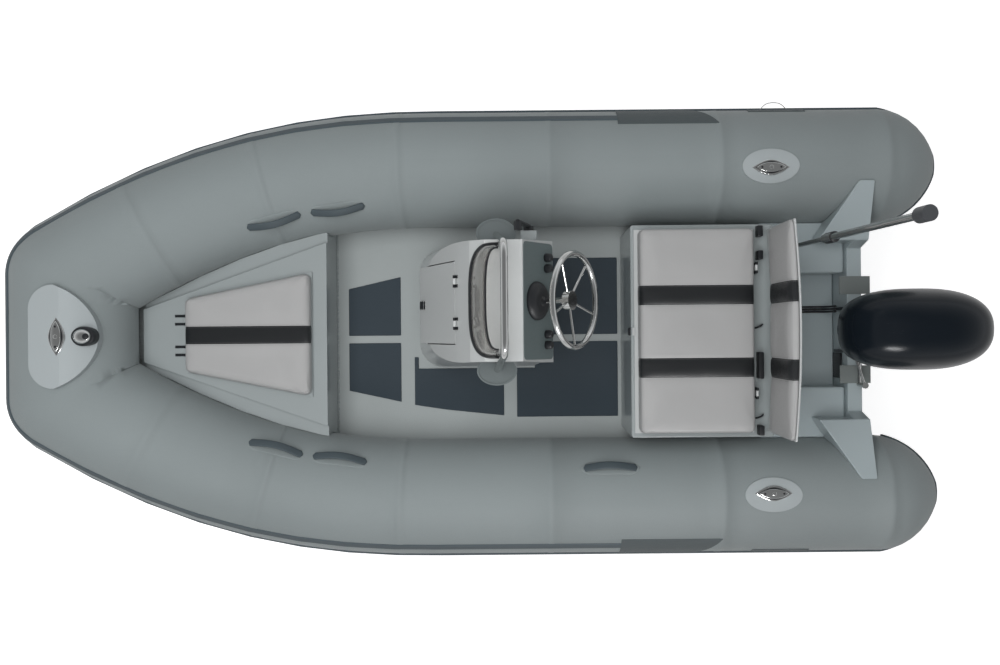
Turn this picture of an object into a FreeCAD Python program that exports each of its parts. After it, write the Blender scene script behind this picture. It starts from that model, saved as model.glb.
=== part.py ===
# An open rigid inflatable tender with a centre console, a bench seat and a tilting outboard.
# Millimetres. X points to the bow, Y to port and Z up. The origin is on the waterline, amidships.
import FreeCAD, Part

import math
import os
import re

import Sketcher

from FreeCAD import Placement, Rotation, Vector

SIZES = {
    # inflatable collar
    "tube_radius": 245,
    "tube_offset": 705,
    "tube_level": 255,
    "bow_lift": 215,
    "bend_start": 200,
    "corner_ahead": 1686,
    "corner_offset": 245,
    "cone_start": 1690,
    "cone_length": 235,
    "cone_mid": 170,
    "cone_mid_drop": 88,
    "cone_cap_radius": 50,
    "cone_cap_bulge": 8,
    "seat_gap": 0.3,
    # strakes and patches on the collar
    "strake_width": 62,
    "strake_depth": 10,
    "strake_wrap": 28,
    "thin_strake_width": 22,
    "thin_strake_depth": 5,
    "thin_strake_reach": 161,
    "thin_strake_aft": 560,
    "patch_depth": 3,
    "panel_fore": 560,
    "panel_aft": 980,
    "panel_slant": 120,
    "panel_low": 40,
    "panel_high": 190,
    "chafe_fore": 1120,
    "chafe_length": 240,
    "chafe_low": 36,
    "chafe_high": 110,
    # hull
    "hull_end": 1604,
    "keel_depth": 190,
    "stem_ahead": 1760,
    "stem_level": 260,
    "chine_half_width": 560,
    "chine_depth": 45,
    "chine_bow_level": 275,
    "chine_bow_half_width": 20,
    "edge_inset": 105,
    "edge_drop": 195,
    "deck_drop": 150,
    "under_deck_level": 105,
    "deck_thickness": 15,
    "pad_thickness": 6,
    # bow locker
    "locker_start": 669,
    "locker_end": 1443,
    "locker_side_half_width": 470,
    "locker_nose_half_width": 190,
    "locker_side_top": 345,
    "locker_top": 370,
    "locker_floor_level": 165,
    "platform_aft_half_width": 388,
    "platform_fore_half_width": 112,
    "locker_wall": 14,
    "locker_mouth_margin": 26,
    "bow_lid_aft": 729,
    "bow_lid_fore": 1259,
    "bow_lid_aft_half_width": 263,
    "bow_lid_fore_half_width": 156,
    "lid_thickness": 10,
    "bow_cushion_thickness": 45,
    "bow_hinge_spacing": 130,
    # bow fittings
    "step_fore": 1735,
    "step_middle": 1641,
    "step_aft": 1497,
    "step_half_width": 200,
    "step_top": 735,
    "step_thickness": 28,
    "bow_cleat_ahead": 1628,
    "bow_cleat_length": 170,
    "bow_cleat_width": 65,
    "cleat_height": 9,
    "bow_light_ahead": 1540,
    "bow_light_length": 88,
    "bow_light_width": 76,
    "bow_light_height": 26,
    # stern fittings
    "stern_cleat_back": 1178,
    "stern_cleat_offset": 672,
    "stern_pad_length": 233,
    "stern_pad_width": 139,
    "stern_pad_depth": 6,
    "stern_cleat_length": 155,
    "stern_cleat_width": 52,
    # grab handles
    "handle_length": 216,
    "handle_width": 40,
    "handle_thickness": 9,
    "handle_rise": 46,
    "handle_base_width": 62,
    "handle_base_thickness": 6,
    "handle_fore": 900,
    "handle_mid": 620,
    "handle_aft_back": 515,
    "handle_lean": 42,
    "handle_aft_lean": 35,
    # transom and aft deck
    "transom_thickness": 63,
    "transom_top": 330,
    "transom_side_top": 420,
    "transom_notch_half_width": 348,
    "wing_inner": 373,
    "wing_outer": 611,
    "wing_tip_back": 1391,
    "wing_knee_back": 1541,
    "wing_outer_top": 497,
    "aft_deck_level": 300,
    "well_half_width": 245,
    "well_level": 150,
    "well_front_wall": 70,
    "engine_pad_length": 130,
    "engine_pad_width": 76,
    "engine_pad_thickness": 5,
    "engine_pad_offset": 190,
    # console
    "console_offset": 112,
    "console_base_aft": 200,
    "console_base_fore": 305,
    "console_nose_level": 500,
    "console_nose_fore": 273,
    "console_brow_fore": 25,
    "console_brow_level": 1000,
    "console_top_level": 1070,
    "console_top_fore": 30,
    "console_dash_top_aft": 164,
    "console_dash_low_aft": 273,
    "console_dash_low_level": 880,
    "console_knee_aft": 225,
    "console_knee_level": 800,
    "console_base_half_width": 262,
    "console_top_half_width": 212,
    "console_corner": 105,
    "console_wall": 10,
    "hatch_low_share": 0.07,
    "hatch_high_share": 0.75,
    "hatch_half_width": 155,
    "hatch_gap": 4,
    "screen_half_width": 186,
    "screen_sagitta": 37,
    "screen_base_fore": 22,
    "screen_base_level": 1024,
    "screen_height": 226,
    "screen_rake": 67,
    "screen_thickness": 5,
    "rail_radius": 12.5,
    "rail_top_level": 1300,
    "tray_level": 896,
    "tray_height": 20,
    "tray_rim": 6,
    "tray_dip": 5,
    "tray_length": 146,
    "tray_width": 108,
    "tray_offset": 250,
    "rail_foot_level": "=tray_level + tray_height - tray_dip + seat_gap",
    "rail_top_aft": 106,
    "rail_foot_aft": 67,
    "rail_top_half_width": 181,
    "rail_foot_half_width": 247,
    "rail_bend": 55,
    "wheel_radius": 165,
    "wheel_rim": 10.5,
    "wheel_reach": 137,
    "wheel_hub_radius": 34,
    "wheel_hub_depth": 26,
    "wheel_dish": 34,
    "spoke_radius": 4.5,
    "bezel_radius": 46,
    "bezel_height": 22,
    "shaft_radius": 11,
    "shaft_gap": 0.06,
    "knob_radius": 10,
    "knob_height": 16,
    "knob_share": 0.16,
    "helm_share": 0.42,
    "throttle_back": 186,
    "throttle_length": 60,
    "throttle_height": 150,
    "throttle_depth": 44,
    "throttle_lever_length": 150,
    "throttle_lever_radius": 9,
    # bench seat
    "seat_fore": 595,
    "seat_half_width": 430,
    "seat_box_level": 545,
    "seat_wall": 12,
    "seat_mouth_margin": 48,
    "seat_lid_thickness": 12,
    "seat_front_rim": 25,
    "cushion_fore": "=seat_fore + seat_front_rim",
    "cushion_length": 460,
    "cushion_aft": "=cushion_fore + cushion_length",
    "cushion_half_width": 409,
    "cushion_thickness": 83,
    "cushion_round": 20,
    "seat_hinge_gap": 10,
    "seat_hinge_back": "=cushion_aft + seat_hinge_gap",
    "seat_back_room": 82,
    "seat_aft": "=seat_hinge_back + seat_back_room",
    "seat_hinge_level": 600,
    "seat_hinge_offset": 250,
    "panel_thickness": 8,
    "panel_top": 940,
    "panel_half_width": 404,
    "panel_bow": 20,
    "back_cushion_thickness": 39,
    "back_cushion_low": 630,
    "back_cushion_round": 8,
    "latch_width": 32,
    "latch_height": 44,
    "latch_depth": 9,
    # hinges
    "pin_radius": 3,
    "pin_gap": 0.06,
    "knuckle_radius": 6,
    "knuckle_length": 22,
    "knuckle_gap": 0.5,
    "leaf_thickness": 3,
    # light pole
    "pole_back": 1240,
    "pole_offset": 340,
    "pole_foot_radius": 26,
    "pole_foot_height": 40,
    "pole_thin_radius": 9,
    "pole_radius": 12.5,
    "pole_sleeve_radius": 17,
    "pole_sleeve_low": 830,
    "pole_sleeve_high": 905,
    "pole_top": 1520,
    "pole_rake": 115,
    "pole_head_radius": 25,
    "pole_head_height": 62,
    # outboard
    "tilt_back": 1572,
    "tilt_level": 385,
    "tilt_tube_radius": 16,
    "tilt_tube_half_length": 115,
    "clamp_plate_inner": 85,
    "clamp_plate_thickness": 12,
    "clamp_round": 28,
    "clamp_aft_depth": 36,
    "clamp_fore_depth": 21,
    "clamp_low": 60,
    "clamp_fore_low": 215,
    "clamp_shoulder": 34,
    "swivel_half_width": 76,
    "swivel_cheek": 26,
    "swivel_round": 27,
    "steer_back": 1680,
    "swivel_tube_radius": 34,
    "swivel_low": 60,
    "swivel_high": 408,
    "steer_shaft_radius": 22,
    "steer_arm_level": 425,
    "steer_arm_thickness": 12,
    "steer_arm_reach": 186,
    "steer_arm_width": 34,
    "ram_radius": 7,
    "ram_end": 231,
    "ram_start": 20,
    "link_level": 450,
    "link_radius": 5,
    "link_eye_radius": 13,
    "link_eye_height": 14,
    "link_post_radius": 9,
    "leg_fore": 1727,
    "leg_chord": 141,
    "leg_aft": "=leg_fore + leg_chord",
    "leg_half_width": 44,
    "leg_low_half_width": 26,
    "leg_top_half_width": 53,
    "leg_top": 470,
    "plate_level": 215,
    "plate_thickness": 6,
    "plate_overhang": 97,
    "plate_aft": "=leg_aft + plate_overhang",
    "plate_half_width": 88,
    "gear_level": 365,
    "gear_radius": 42,
    "gear_nose": 72,
    "gear_fore": "=leg_fore - gear_nose",
    "gear_length": 195,
    "gear_aft": "=gear_fore + gear_length",
    "skeg_low": 500,
    "skeg_thickness": 10,
    "propeller_radius": 127,
    "propeller_hub_radius": 36,
    "propeller_hub_length": 78,
    "propeller_pitch": 330,
    "propeller_gap": 0.5,
    "blade_thickness": 6,
    "blade_chord": 79,
    "pan_level": 470,
    "cowl_parting": 545,
    "cowl_gap": 0.3,
    "cowl_top": 850,
    "cowl_fore": 1419,
    "cowl_widest": 1717,
    "cowl_aft": 1991,
    "cowl_half_width": 160,
    "cowl_wall": 4,
    "powerhead_length": 330,
    "powerhead_width": 190,
    "powerhead_height": 190,
    # eyes
    "eye_radius": 11,
    "eye_ring": 6,
    "eye_thickness": 12,
    "bow_eye_ahead": 1560,
    "stern_eye_offset": 350,
    "stern_eye_level": 150,
}

BEND_POWER = 2.35
LIFT_POWER = 2
FOREFOOT_POWER = 3.2
CHINE_POWER = 2.4
SIDE_STATIONS = 8
HULL_STATIONS = 10
BLADES = 3
SPOKES = 5
# The cowl's plan: points of its outline as shares of its reach fore or aft and of its half width
EGG_NOSE_SHARES = ((0.9, 0.5), (0.52, 0.88))
EGG_TAIL_SHARES = ((0.84, 0.54), (0.46, 0.89))
FOIL_SHARES = ((0.07, 0.62), (0.42, 1), (1, 0.16))
# The cowl's levels above its parting line, and the outline's size at each
COWL_SHARES = ((0, 0.97), (0.3, 1), (0.58, 0.95), (0.75, 0.83), (0.87, 0.65), (0.95, 0.47), (1, 0.26))
PAN_SHARES = ((0, 0.8), (0.5, 0.93), (1, 0.97))
COWL_INNER_SHARES = ((0, 0.97), (0.3, 1), (0.58, 0.95), (0.75, 0.81), (0.86, 0.63))
# A blade's stations out from the axis, and its chord at each
BLADE_SHARES = ((0.22, 0.62), (0.5, 0.95), (0.78, 0.9), (1, 0.3))
# Floor pad corners: shares of the cockpit's length from the seat forward, and of the chine's half width
PAD_SHARES = (
    ((0.78, -0.453), (0.964, -0.359), (0.964, 0.015), (0.78, 0.015)),
    ((0.78, 0.075), (0.964, 0.075), (0.964, 0.454), (0.78, 0.546)),
    ((0.416, 0.282), (0.718, 0.282), (0.718, 0.19), (0.732, 0.19), (0.732, 0.572), (0.616, 0.613), (0.416, 0.662)),
    ((0.012, -0.595), (0.306, -0.595), (0.306, 0.017), (0.012, 0.017)),
    ((0.012, 0.073), (0.306, 0.073), (0.306, 0.282), (0.37, 0.282), (0.37, 0.674), (0.012, 0.674)),
)

doc = FreeCAD.newDocument("Tender")
sheet = doc.addObject("Spreadsheet::Sheet", "Sizes")
for row, (alias, value) in enumerate(SIZES.items(), start=1):
    sheet.set("A%d" % row, alias.replace("_", " "))
    sheet.set("B%d" % row, str(value))
    sheet.setAlias("B%d" % row, alias)
doc.recompute()


class Named:
    """The driving dimensions, read back from the sheet."""

    def __getattr__(self, alias):
        return float(getattr(sheet, alias))


S = Named()
FORE = Vector(1, 0, 0)
PORT = Vector(0, 1, 0)
UP = Vector(0, 0, 1)
ORIGIN = Vector(0, 0, 0)
parts = []


def formula(text):
    """An expression that reads its names from the sheet."""
    return re.sub(r"[a-z][a-z_]*[a-z]", lambda m: "Sizes." + m.group(0), text)


def bound(kind, name, **expressions):
    """A document object whose properties follow the sheet; x, y and z are its place."""
    thing = doc.addObject(kind, name)
    for prop, text in expressions.items():
        path = "Placement.Base." + prop if prop in ("x", "y", "z") else prop
        thing.setExpression(path, formula(text))
    return thing


def boolean(kind, name, base, tools):
    """A cut, fuse or common of document objects."""
    thing = doc.addObject(kind, name)
    if kind == "Part::Cut":
        thing.Base = base
        thing.Tool = tools
    else:
        thing.Shapes = [base] + tools
    return thing


def keep(thing, label):
    """Mark a document object as a sub-part under its own label."""
    thing.Label = label
    parts.append(thing)
    return thing


def feature(label, shape):
    """A sub-part whose shape is set by code."""
    thing = doc.addObject("Part::Feature", label)
    thing.Shape = shape
    return keep(thing, label)


def plane_of(body, role):
    for item in body.Origin.OriginFeatures:
        if item.Role == role:
            return item
    raise ValueError(role)


def block_body(label, x_low, x_high, half_width, z_low, height, y_mid="0", rounding=None):
    """A PartDesign block from a dimensioned rectangle, with rounded edges where wanted."""
    body = doc.addObject("PartDesign::Body", label)
    sketch = body.newObject("Sketcher::SketchObject", label + "_outline")
    sketch.AttachmentSupport = [(plane_of(body, "XY_Plane"), "")]
    sketch.MapMode = "FlatFace"
    corners = [Vector(0, 0, 0), Vector(1, 0, 0), Vector(1, 1, 0), Vector(0, 1, 0)]
    for i in range(4):
        sketch.addGeometry(Part.LineSegment(corners[i], corners[(i + 1) % 4]), False)
    for i in range(4):
        sketch.addConstraint(Sketcher.Constraint("Coincident", i, 2, (i + 1) % 4, 1))
    for i in range(4):
        sketch.addConstraint(Sketcher.Constraint("Vertical" if i % 2 else "Horizontal", i))
    sketch.addConstraint(Sketcher.Constraint("DistanceX", 0, 1, 0, 2, 1.0))
    sketch.addConstraint(Sketcher.Constraint("DistanceY", 1, 1, 1, 2, 1.0))
    sketch.setExpression("Constraints[8]", formula("(%s) - (%s)" % (x_high, x_low)))
    sketch.setExpression("Constraints[9]", formula("2 * (%s)" % half_width))
    sketch.setExpression("AttachmentOffset.Base.x", formula(x_low))
    sketch.setExpression("AttachmentOffset.Base.y", formula("(%s) - (%s)" % (y_mid, half_width)))
    sketch.setExpression("AttachmentOffset.Base.z", formula(z_low))
    sketch.addConstraint(Sketcher.Constraint("Coincident", 0, 1, -1, 1))
    pad = body.newObject("PartDesign::Pad", label + "_pad")
    pad.Profile = sketch
    pad.setExpression("Length", formula(height))
    doc.recompute()
    if rounding:
        fillet = body.newObject("PartDesign::Fillet", label + "_round")
        names = ["Edge%d" % (i + 1) for i, e in enumerate(pad.Shape.Edges)
                 if min(v.Z for v in e.Vertexes) > pad.Shape.BoundBox.ZMin + S.seat_gap]
        fillet.Base = (pad, names)
        fillet.setExpression("Radius", formula(rounding))
    return body


def polygon(points):
    return Part.makePolygon(list(points) + [points[0]])


def prism(points, along):
    """A solid from a closed outline of points, pushed along a vector."""
    return Part.Face(polygon(points)).extrude(along)


def slab(outline, low, high):
    """A solid from a plan outline of (x, y) between two levels."""
    return prism([Vector(x, y, low) for x, y in outline], Vector(0, 0, high - low))


def cylinder(radius, start, end):
    return Part.makeCylinder(radius, (end - start).Length, start, end - start)


def box(x_low, x_high, y_low, y_high, z_low, z_high):
    return Part.makeBox(x_high - x_low, y_high - y_low, z_high - z_low, Vector(x_low, y_low, z_low))


def fuse(shapes):
    return shapes[0].fuse(list(shapes[1:])).removeSplitter()


def both_sides(shape):
    return [shape, shape.mirror(ORIGIN, PORT)]


def placed(shape, placement):
    """A copy of a shape moved by a placement, its round faces kept round."""
    moved = shape.copy()
    moved.Placement = placement.multiply(moved.Placement)
    return moved


def ellipse_slab(length, width, centre, height):
    """An upright oval block, its length along X."""
    long_way = length >= width
    major = max(length, width) / 2
    minor = min(length, width) / 2
    curve = Part.Ellipse(ORIGIN, major, minor).toShape()
    solid = Part.Face(Part.Wire([curve])).extrude(Vector(0, 0, height))
    if not long_way:
        solid.rotate(ORIGIN, UP, 90)
    solid.translate(centre)
    return solid


def rounded_path(points, radius):
    """Straight runs joined by tangent arcs of one radius."""
    edges = []
    start = points[0]
    for before, corner, after in zip(points, points[1:], points[2:]):
        back = (before - corner).normalize()
        ahead = (after - corner).normalize()
        half = back.getAngle(ahead) / 2
        reach = radius / math.tan(half)
        middle = (back + ahead).normalize() * (radius / math.sin(half) - radius)
        first = corner + back * reach
        last = corner + ahead * reach
        edges.append(Part.LineSegment(start, first).toShape())
        edges.append(Part.Arc(first, corner + middle, last).toShape())
        start = last
    edges.append(Part.LineSegment(start, points[-1]).toShape())
    return Part.Wire(edges)


def rod(points, bend, radius):
    """A round bar along straight runs with bends."""
    path = rounded_path(points, bend) if len(points) > 2 else Part.Wire(
        [Part.LineSegment(points[0], points[1]).toShape()])
    circle = Part.Circle(points[0], points[1] - points[0], radius).toShape()
    return path.makePipeShell([Part.Wire([circle])], True, False)


# The collar's centreline on the port side, and what is laid on it
def bend_share(x):
    return max(0.0, (x - S.bend_start) / (S.corner_ahead - S.bend_start))


def tube_centre(x):
    share = min(bend_share(x), 1)
    offset = S.tube_offset - (S.tube_offset - S.corner_offset) * share ** BEND_POWER
    return Vector(x, offset, S.tube_level + S.bow_lift * share ** LIFT_POWER)


def tube_heading(x):
    step = S.seat_gap
    if x <= S.bend_start:
        return FORE
    return (tube_centre(x) - tube_centre(x - step)).normalize()


def side_stations():
    span = S.corner_ahead - S.bend_start
    return [S.bend_start + span * i / SIDE_STATIONS for i in range(SIDE_STATIONS + 1)]


def tube_solid(grow):
    """The whole collar with its radius enlarged, from gores, cones and round corners."""
    radius = S.tube_radius + grow
    straight = cylinder(radius, Vector(-S.cone_start, S.tube_offset, S.tube_level), tube_centre(S.bend_start))
    rings = [Part.Wire([Part.Circle(tube_centre(x), tube_heading(x), radius).toShape()]) for x in side_stations()]
    bend = Part.makeLoft(rings, True, True)
    corner = tube_centre(S.corner_ahead)
    ball = Part.makeSphere(radius, corner)
    half = straight.fuse([bend, ball, cone_solid(grow)])
    bow = cylinder(radius, corner, Vector(corner.x, -corner.y, corner.z))
    return half.fuse([bow, half.mirror(ORIGIN, PORT)]).removeSplitter()


def cone_solid(grow):
    """The blunt cone that closes the tube at the stern."""
    hub = Vector(-S.cone_start, S.tube_offset, S.tube_level)
    rim = hub + Vector(0, S.tube_radius + grow, 0)
    middle = hub + Vector(-S.cone_mid, S.tube_radius - S.cone_mid_drop + grow, 0)
    cap = hub + Vector(-S.cone_length - grow, S.cone_cap_radius, 0)
    tip = hub + Vector(-S.cone_length - S.cone_cap_bulge - grow, 0, 0)
    edges = [
        Part.LineSegment(hub, rim).toShape(),
        Part.Arc(rim, middle, cap).toShape(),
        Part.LineSegment(cap, tip).toShape(),
        Part.LineSegment(tip, hub).toShape(),
    ]
    return Part.Face(Part.Wire(edges)).revolve(hub, FORE, 360)


def sheer_strip(low, high, aft, fore, reach):
    """A band across the boat that follows the collar's sheer, for the surface at a reach outboard."""
    stations = [x for x in side_stations() if aft < x < fore]
    top = []
    for x in [min(aft, S.bend_start)] * (aft < S.bend_start) + [x for x in stations if x >= aft]:
        heading = tube_heading(x)
        flat = Vector(heading.x, heading.y, 0).normalize()
        side = x - reach * flat.y
        top.append((side, tube_centre(x).z))
    if fore > S.corner_ahead:
        top.append((S.corner_ahead + 2 * S.tube_radius, tube_centre(S.corner_ahead).z))
    else:
        top.append((fore, tube_centre(fore).z))
    width = 2 * S.tube_offset
    outline = [Vector(x, -width, z + high) for x, z in top] + [Vector(x, -width, z + low) for x, z in reversed(top)]
    return prism(outline, Vector(0, 2 * width, 0))


def inboard_prism():
    """Everything inboard of the collar's centreline, forward of the stern cones."""
    points = [Vector(-S.cone_start - S.strake_wrap, S.tube_offset, 0), Vector(S.bend_start, S.tube_offset, 0)]
    points += [Vector(tube_centre(x).x, tube_centre(x).y, 0) for x in side_stations()[1:]]
    outline = points + [Vector(p.x, -p.y, 0) for p in reversed(points)]
    outline = [p - Vector(0, 0, 2 * S.tube_radius) for p in outline]
    return prism(outline, Vector(0, 0, 2 * (S.tube_level + S.bow_lift + S.tube_radius)))


def plan_half_widths(x_values, half_widths):
    """A plan outline with mirrored sides, from the aft end forward."""
    right = list(zip(x_values, half_widths))
    return right + [(x, -y) for x, y in reversed(right)]


TUBE = tube_solid(0)
TUBE_SEAT = tube_solid(S.seat_gap)
INBOARD = inboard_prism()


def build_collar():
    feature("collar", TUBE)


def build_strakes():
    """The rub strake along the widest line, and the thin one above it."""
    thick = tube_solid(S.strake_depth).cut(TUBE_SEAT).cut(INBOARD)
    end = -S.cone_start - S.cone_length - S.tube_radius
    band = sheer_strip(-S.strake_width / 2, S.strake_width / 2, end, S.corner_ahead + S.tube_radius, S.tube_radius)
    feature("rub_strake", thick.common(band))
    thin = tube_solid(S.thin_strake_depth).cut(TUBE_SEAT).cut(INBOARD)
    middle = S.thin_strake_reach
    reach = math.sqrt(S.tube_radius ** 2 - middle ** 2)
    aft = -S.thin_strake_aft
    band = sheer_strip(middle - S.thin_strake_width / 2, middle + S.thin_strake_width / 2,
                       aft, S.corner_ahead + S.tube_radius, reach)
    strip = box(aft, 2 * S.corner_ahead, -2 * S.tube_offset, 2 * S.tube_offset, -S.tube_radius, 2 * S.step_top)
    feature("upper_strake", thin.common(band).common(strip))


def build_patches():
    """The slanted side panels and the chafe patches outside the stern."""
    skin = tube_solid(S.patch_depth).cut(TUBE_SEAT)
    level = S.tube_level
    width = S.tube_offset
    panel = prism([
        Vector(-S.panel_fore, width, level + S.panel_low),
        Vector(-S.panel_aft + S.panel_slant, width, level + S.panel_low),
        Vector(-S.panel_aft, width, level + S.panel_high),
        Vector(-S.panel_fore, width, level + S.panel_high),
    ], Vector(0, width, 0))
    feature("side_panels", Part.makeCompound(both_sides(skin.common(panel))))
    chafe = box(-S.chafe_fore - S.chafe_length, -S.chafe_fore, width, 2 * width,
                level + S.chafe_low, level + S.chafe_high)
    feature("chafe_patches", Part.makeCompound(both_sides(skin.common(chafe))))


def hull_section(x):
    """Half of the hull's outline at a station, from the keel up to the deck."""
    share = max(0.0, x / S.stem_ahead)
    keel = -S.keel_depth + (S.stem_level + S.keel_depth) * share ** FOREFOOT_POWER
    chine = -S.chine_depth + (S.chine_bow_level + S.chine_depth) * share ** CHINE_POWER
    half = S.chine_half_width - (S.chine_half_width - S.chine_bow_half_width) * share ** FOREFOOT_POWER
    centre = tube_centre(x)
    edge = centre.y - S.edge_inset
    side = centre.z - S.edge_drop
    top = centre.z - S.deck_drop
    return [(0, keel), (half, chine), (edge, side), (edge, top)]


def build_hull():
    rings = []
    for x in [-S.hull_end] + [S.stem_ahead * i / HULL_STATIONS for i in range(HULL_STATIONS + 1)]:
        right = hull_section(x)
        points = [Vector(x, y, z) for y, z in right] + [Vector(x, -y, z) for y, z in reversed(right[1:])]
        rings.append(polygon(points))
    solid = Part.makeLoft(rings, True, True)
    high = 2 * S.tube_level
    cockpit = box(-2 * S.hull_end, S.locker_start, -S.tube_offset, S.tube_offset, S.under_deck_level, high)
    locker = slab(locker_outline(S.seat_gap), S.locker_floor_level, high)
    feature("hull", solid.cut([cockpit, locker, TUBE_SEAT]))


def locker_outline(grow):
    return plan_half_widths(
        (S.locker_start, S.locker_end + grow),
        (S.locker_side_half_width + grow, S.locker_nose_half_width + grow))


def build_deck():
    deck = box(-S.hull_end + S.transom_thickness, S.locker_start, -S.chine_half_width, S.chine_half_width,
               S.under_deck_level, S.under_deck_level + S.deck_thickness)
    feature("deck_floor", deck.cut(TUBE_SEAT))
    base = S.under_deck_level + S.deck_thickness
    top = base + S.pad_thickness
    run = S.locker_start + S.seat_fore
    pads = []
    for shares in PAD_SHARES:
        outline = [(-S.seat_fore + run * along, S.chine_half_width * across) for along, across in shares]
        pads.append(slab(outline, base, top))
    feature("floor_pads", Part.makeCompound(pads))


def hinge(centre, fixed_leaf, moving_leaf):
    """Fixed and moving halves of a small hinge along Y; each leaf is the far corner of a plate in XZ."""
    half = S.knuckle_length / 2
    ends = half + S.knuckle_gap + S.knuckle_length / 2
    pin = cylinder(S.pin_radius, centre - PORT * ends, centre + PORT * ends)
    fixed = [pin]
    for side in (-1, 1):
        near = centre + PORT * (side * (half + S.knuckle_gap))
        far = centre + PORT * (side * ends)
        fixed.append(cylinder(S.knuckle_radius, near, far))
        fixed.append(leaf(near, far, fixed_leaf))
    moving = cylinder(S.knuckle_radius, centre - PORT * half, centre + PORT * half)
    moving = moving.fuse(leaf(centre - PORT * half, centre + PORT * half, moving_leaf))
    moving = moving.cut(cylinder(S.pin_radius + S.pin_gap, centre - PORT * (2 * half), centre + PORT * (2 * half)))
    return fuse(fixed), moving


def leaf(near, far, reach):
    """A plate on the knuckle's rim that runs out along X or down along Z."""
    across = S.leaf_thickness
    rim = S.knuckle_radius
    if abs(reach.x) > abs(reach.z):
        low = min(0, reach.x)
        solid = Part.makeBox(abs(reach.x), abs(far.y - near.y), across)
        corner = Vector(low, 0, reach.z)
    else:
        solid = Part.makeBox(across, abs(far.y - near.y), abs(reach.z))
        side = rim - across if reach.x > 0 else -rim
        corner = Vector(side, 0, reach.z)
    solid.translate(Vector(near.x, min(near.y, far.y), near.z) + corner)
    return solid


def build_bow_locker():
    floor = S.locker_floor_level + S.seat_gap
    wall = S.locker_wall
    wide = slab(locker_outline(0), floor, S.locker_side_top)
    platform = slab(plan_half_widths(
        (S.locker_start, S.locker_end),
        (S.platform_aft_half_width, S.platform_fore_half_width)), S.locker_side_top, S.locker_top)
    inside = slab(plan_half_widths(
        (S.locker_start + wall, S.locker_end - wall),
        (S.platform_aft_half_width - wall, S.platform_fore_half_width - wall)),
        floor + wall, S.locker_side_top - wall)
    margin = S.locker_mouth_margin
    mouth = slab(plan_half_widths(
        (S.bow_lid_aft + margin, S.bow_lid_fore - margin),
        (S.bow_lid_aft_half_width - margin, S.bow_lid_fore_half_width - margin)), floor + wall, 2 * S.locker_top)
    shell = fuse([wide, platform]).cut([inside, mouth, TUBE_SEAT])
    fixed, moving = bow_hinges()
    feature("bow_locker", shell)
    feature("bow_hinges", Part.makeCompound(fixed))
    low = S.locker_top + S.seat_gap
    lid_outline = plan_half_widths((S.bow_lid_aft, S.bow_lid_fore), (S.bow_lid_aft_half_width, S.bow_lid_fore_half_width))
    lid = slab(lid_outline, low, low + S.lid_thickness)
    feature("bow_lid", fuse([lid] + moving))
    top = low + S.lid_thickness
    cushion = slab(lid_outline, top, top + S.bow_cushion_thickness)
    feature("bow_cushion", cushion)


def bow_hinge_centre():
    return Vector(S.bow_lid_fore + S.knuckle_radius + S.seat_gap, 0, S.locker_top + S.knuckle_radius + S.seat_gap)


def bow_hinges():
    fixed = []
    moving = []
    centre = bow_hinge_centre()
    drop = -S.knuckle_radius
    for side in (-1, 1):
        place = centre + PORT * (side * S.bow_hinge_spacing / 2)
        still, free = hinge(place, Vector(2 * S.knuckle_length, 0, drop), Vector(-2 * S.knuckle_radius, 0, drop + S.seat_gap))
        fixed.append(still)
        moving.append(free)
    return fixed, moving


def build_bow_fittings():
    """A step pad moulded over the bow tube, with a pop-up cleat and a light on it."""
    corner = S.step_fore - S.step_middle
    inner = S.step_half_width - corner
    bulge = corner * math.sqrt(0.5)
    edges = [
        Part.LineSegment(Vector(S.step_fore, -inner, 0), Vector(S.step_fore, inner, 0)),
        Part.Arc(Vector(S.step_fore, inner, 0), Vector(S.step_middle + bulge, inner + bulge, 0),
                 Vector(S.step_middle, S.step_half_width, 0)),
        Part.Arc(Vector(S.step_middle, S.step_half_width, 0), Vector(S.step_aft, 0, 0),
                 Vector(S.step_middle, -S.step_half_width, 0)),
        Part.Arc(Vector(S.step_middle, -S.step_half_width, 0), Vector(S.step_middle + bulge, -inner - bulge, 0),
                 Vector(S.step_fore, -inner, 0)),
    ]
    outline = Part.Face(Part.Wire([edge.toShape() for edge in edges])).extrude(UP * S.step_top)
    skin = tube_solid(S.step_thickness)
    step = outline.common(skin).cut(TUBE_SEAT)
    step = step.common(box(0, 2 * S.step_fore, -S.step_fore, S.step_fore, tube_centre(S.corner_ahead).z, S.step_top))
    feature("bow_step", step)
    above = tube_solid(S.step_thickness + S.seat_gap)
    cleat = ellipse_slab(S.bow_cleat_width, S.bow_cleat_length,
                         Vector(S.bow_cleat_ahead, 0, S.step_top - S.cleat_height), 2 * S.cleat_height)
    level = box(0, 2 * S.step_fore, -S.step_fore, S.step_fore, 0, S.step_top + S.seat_gap)
    feature("bow_cleat", cleat.cut(above.common(level)))
    back = tube_centre(S.corner_ahead) - Vector(S.bow_light_ahead, S.corner_offset, 0)
    radius = S.tube_radius + S.step_thickness
    tilt = -math.degrees(math.asin(back.x / radius))
    light = ellipse_slab(S.bow_light_length, S.bow_light_width, UP * (radius - S.bow_light_height / 2),
                         1.5 * S.bow_light_height)
    bow = tube_centre(S.corner_ahead)
    light = placed(light, Placement(Vector(bow.x, 0, bow.z), Rotation(PORT, tilt)))
    feature("bow_light", light.cut(above))


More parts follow.
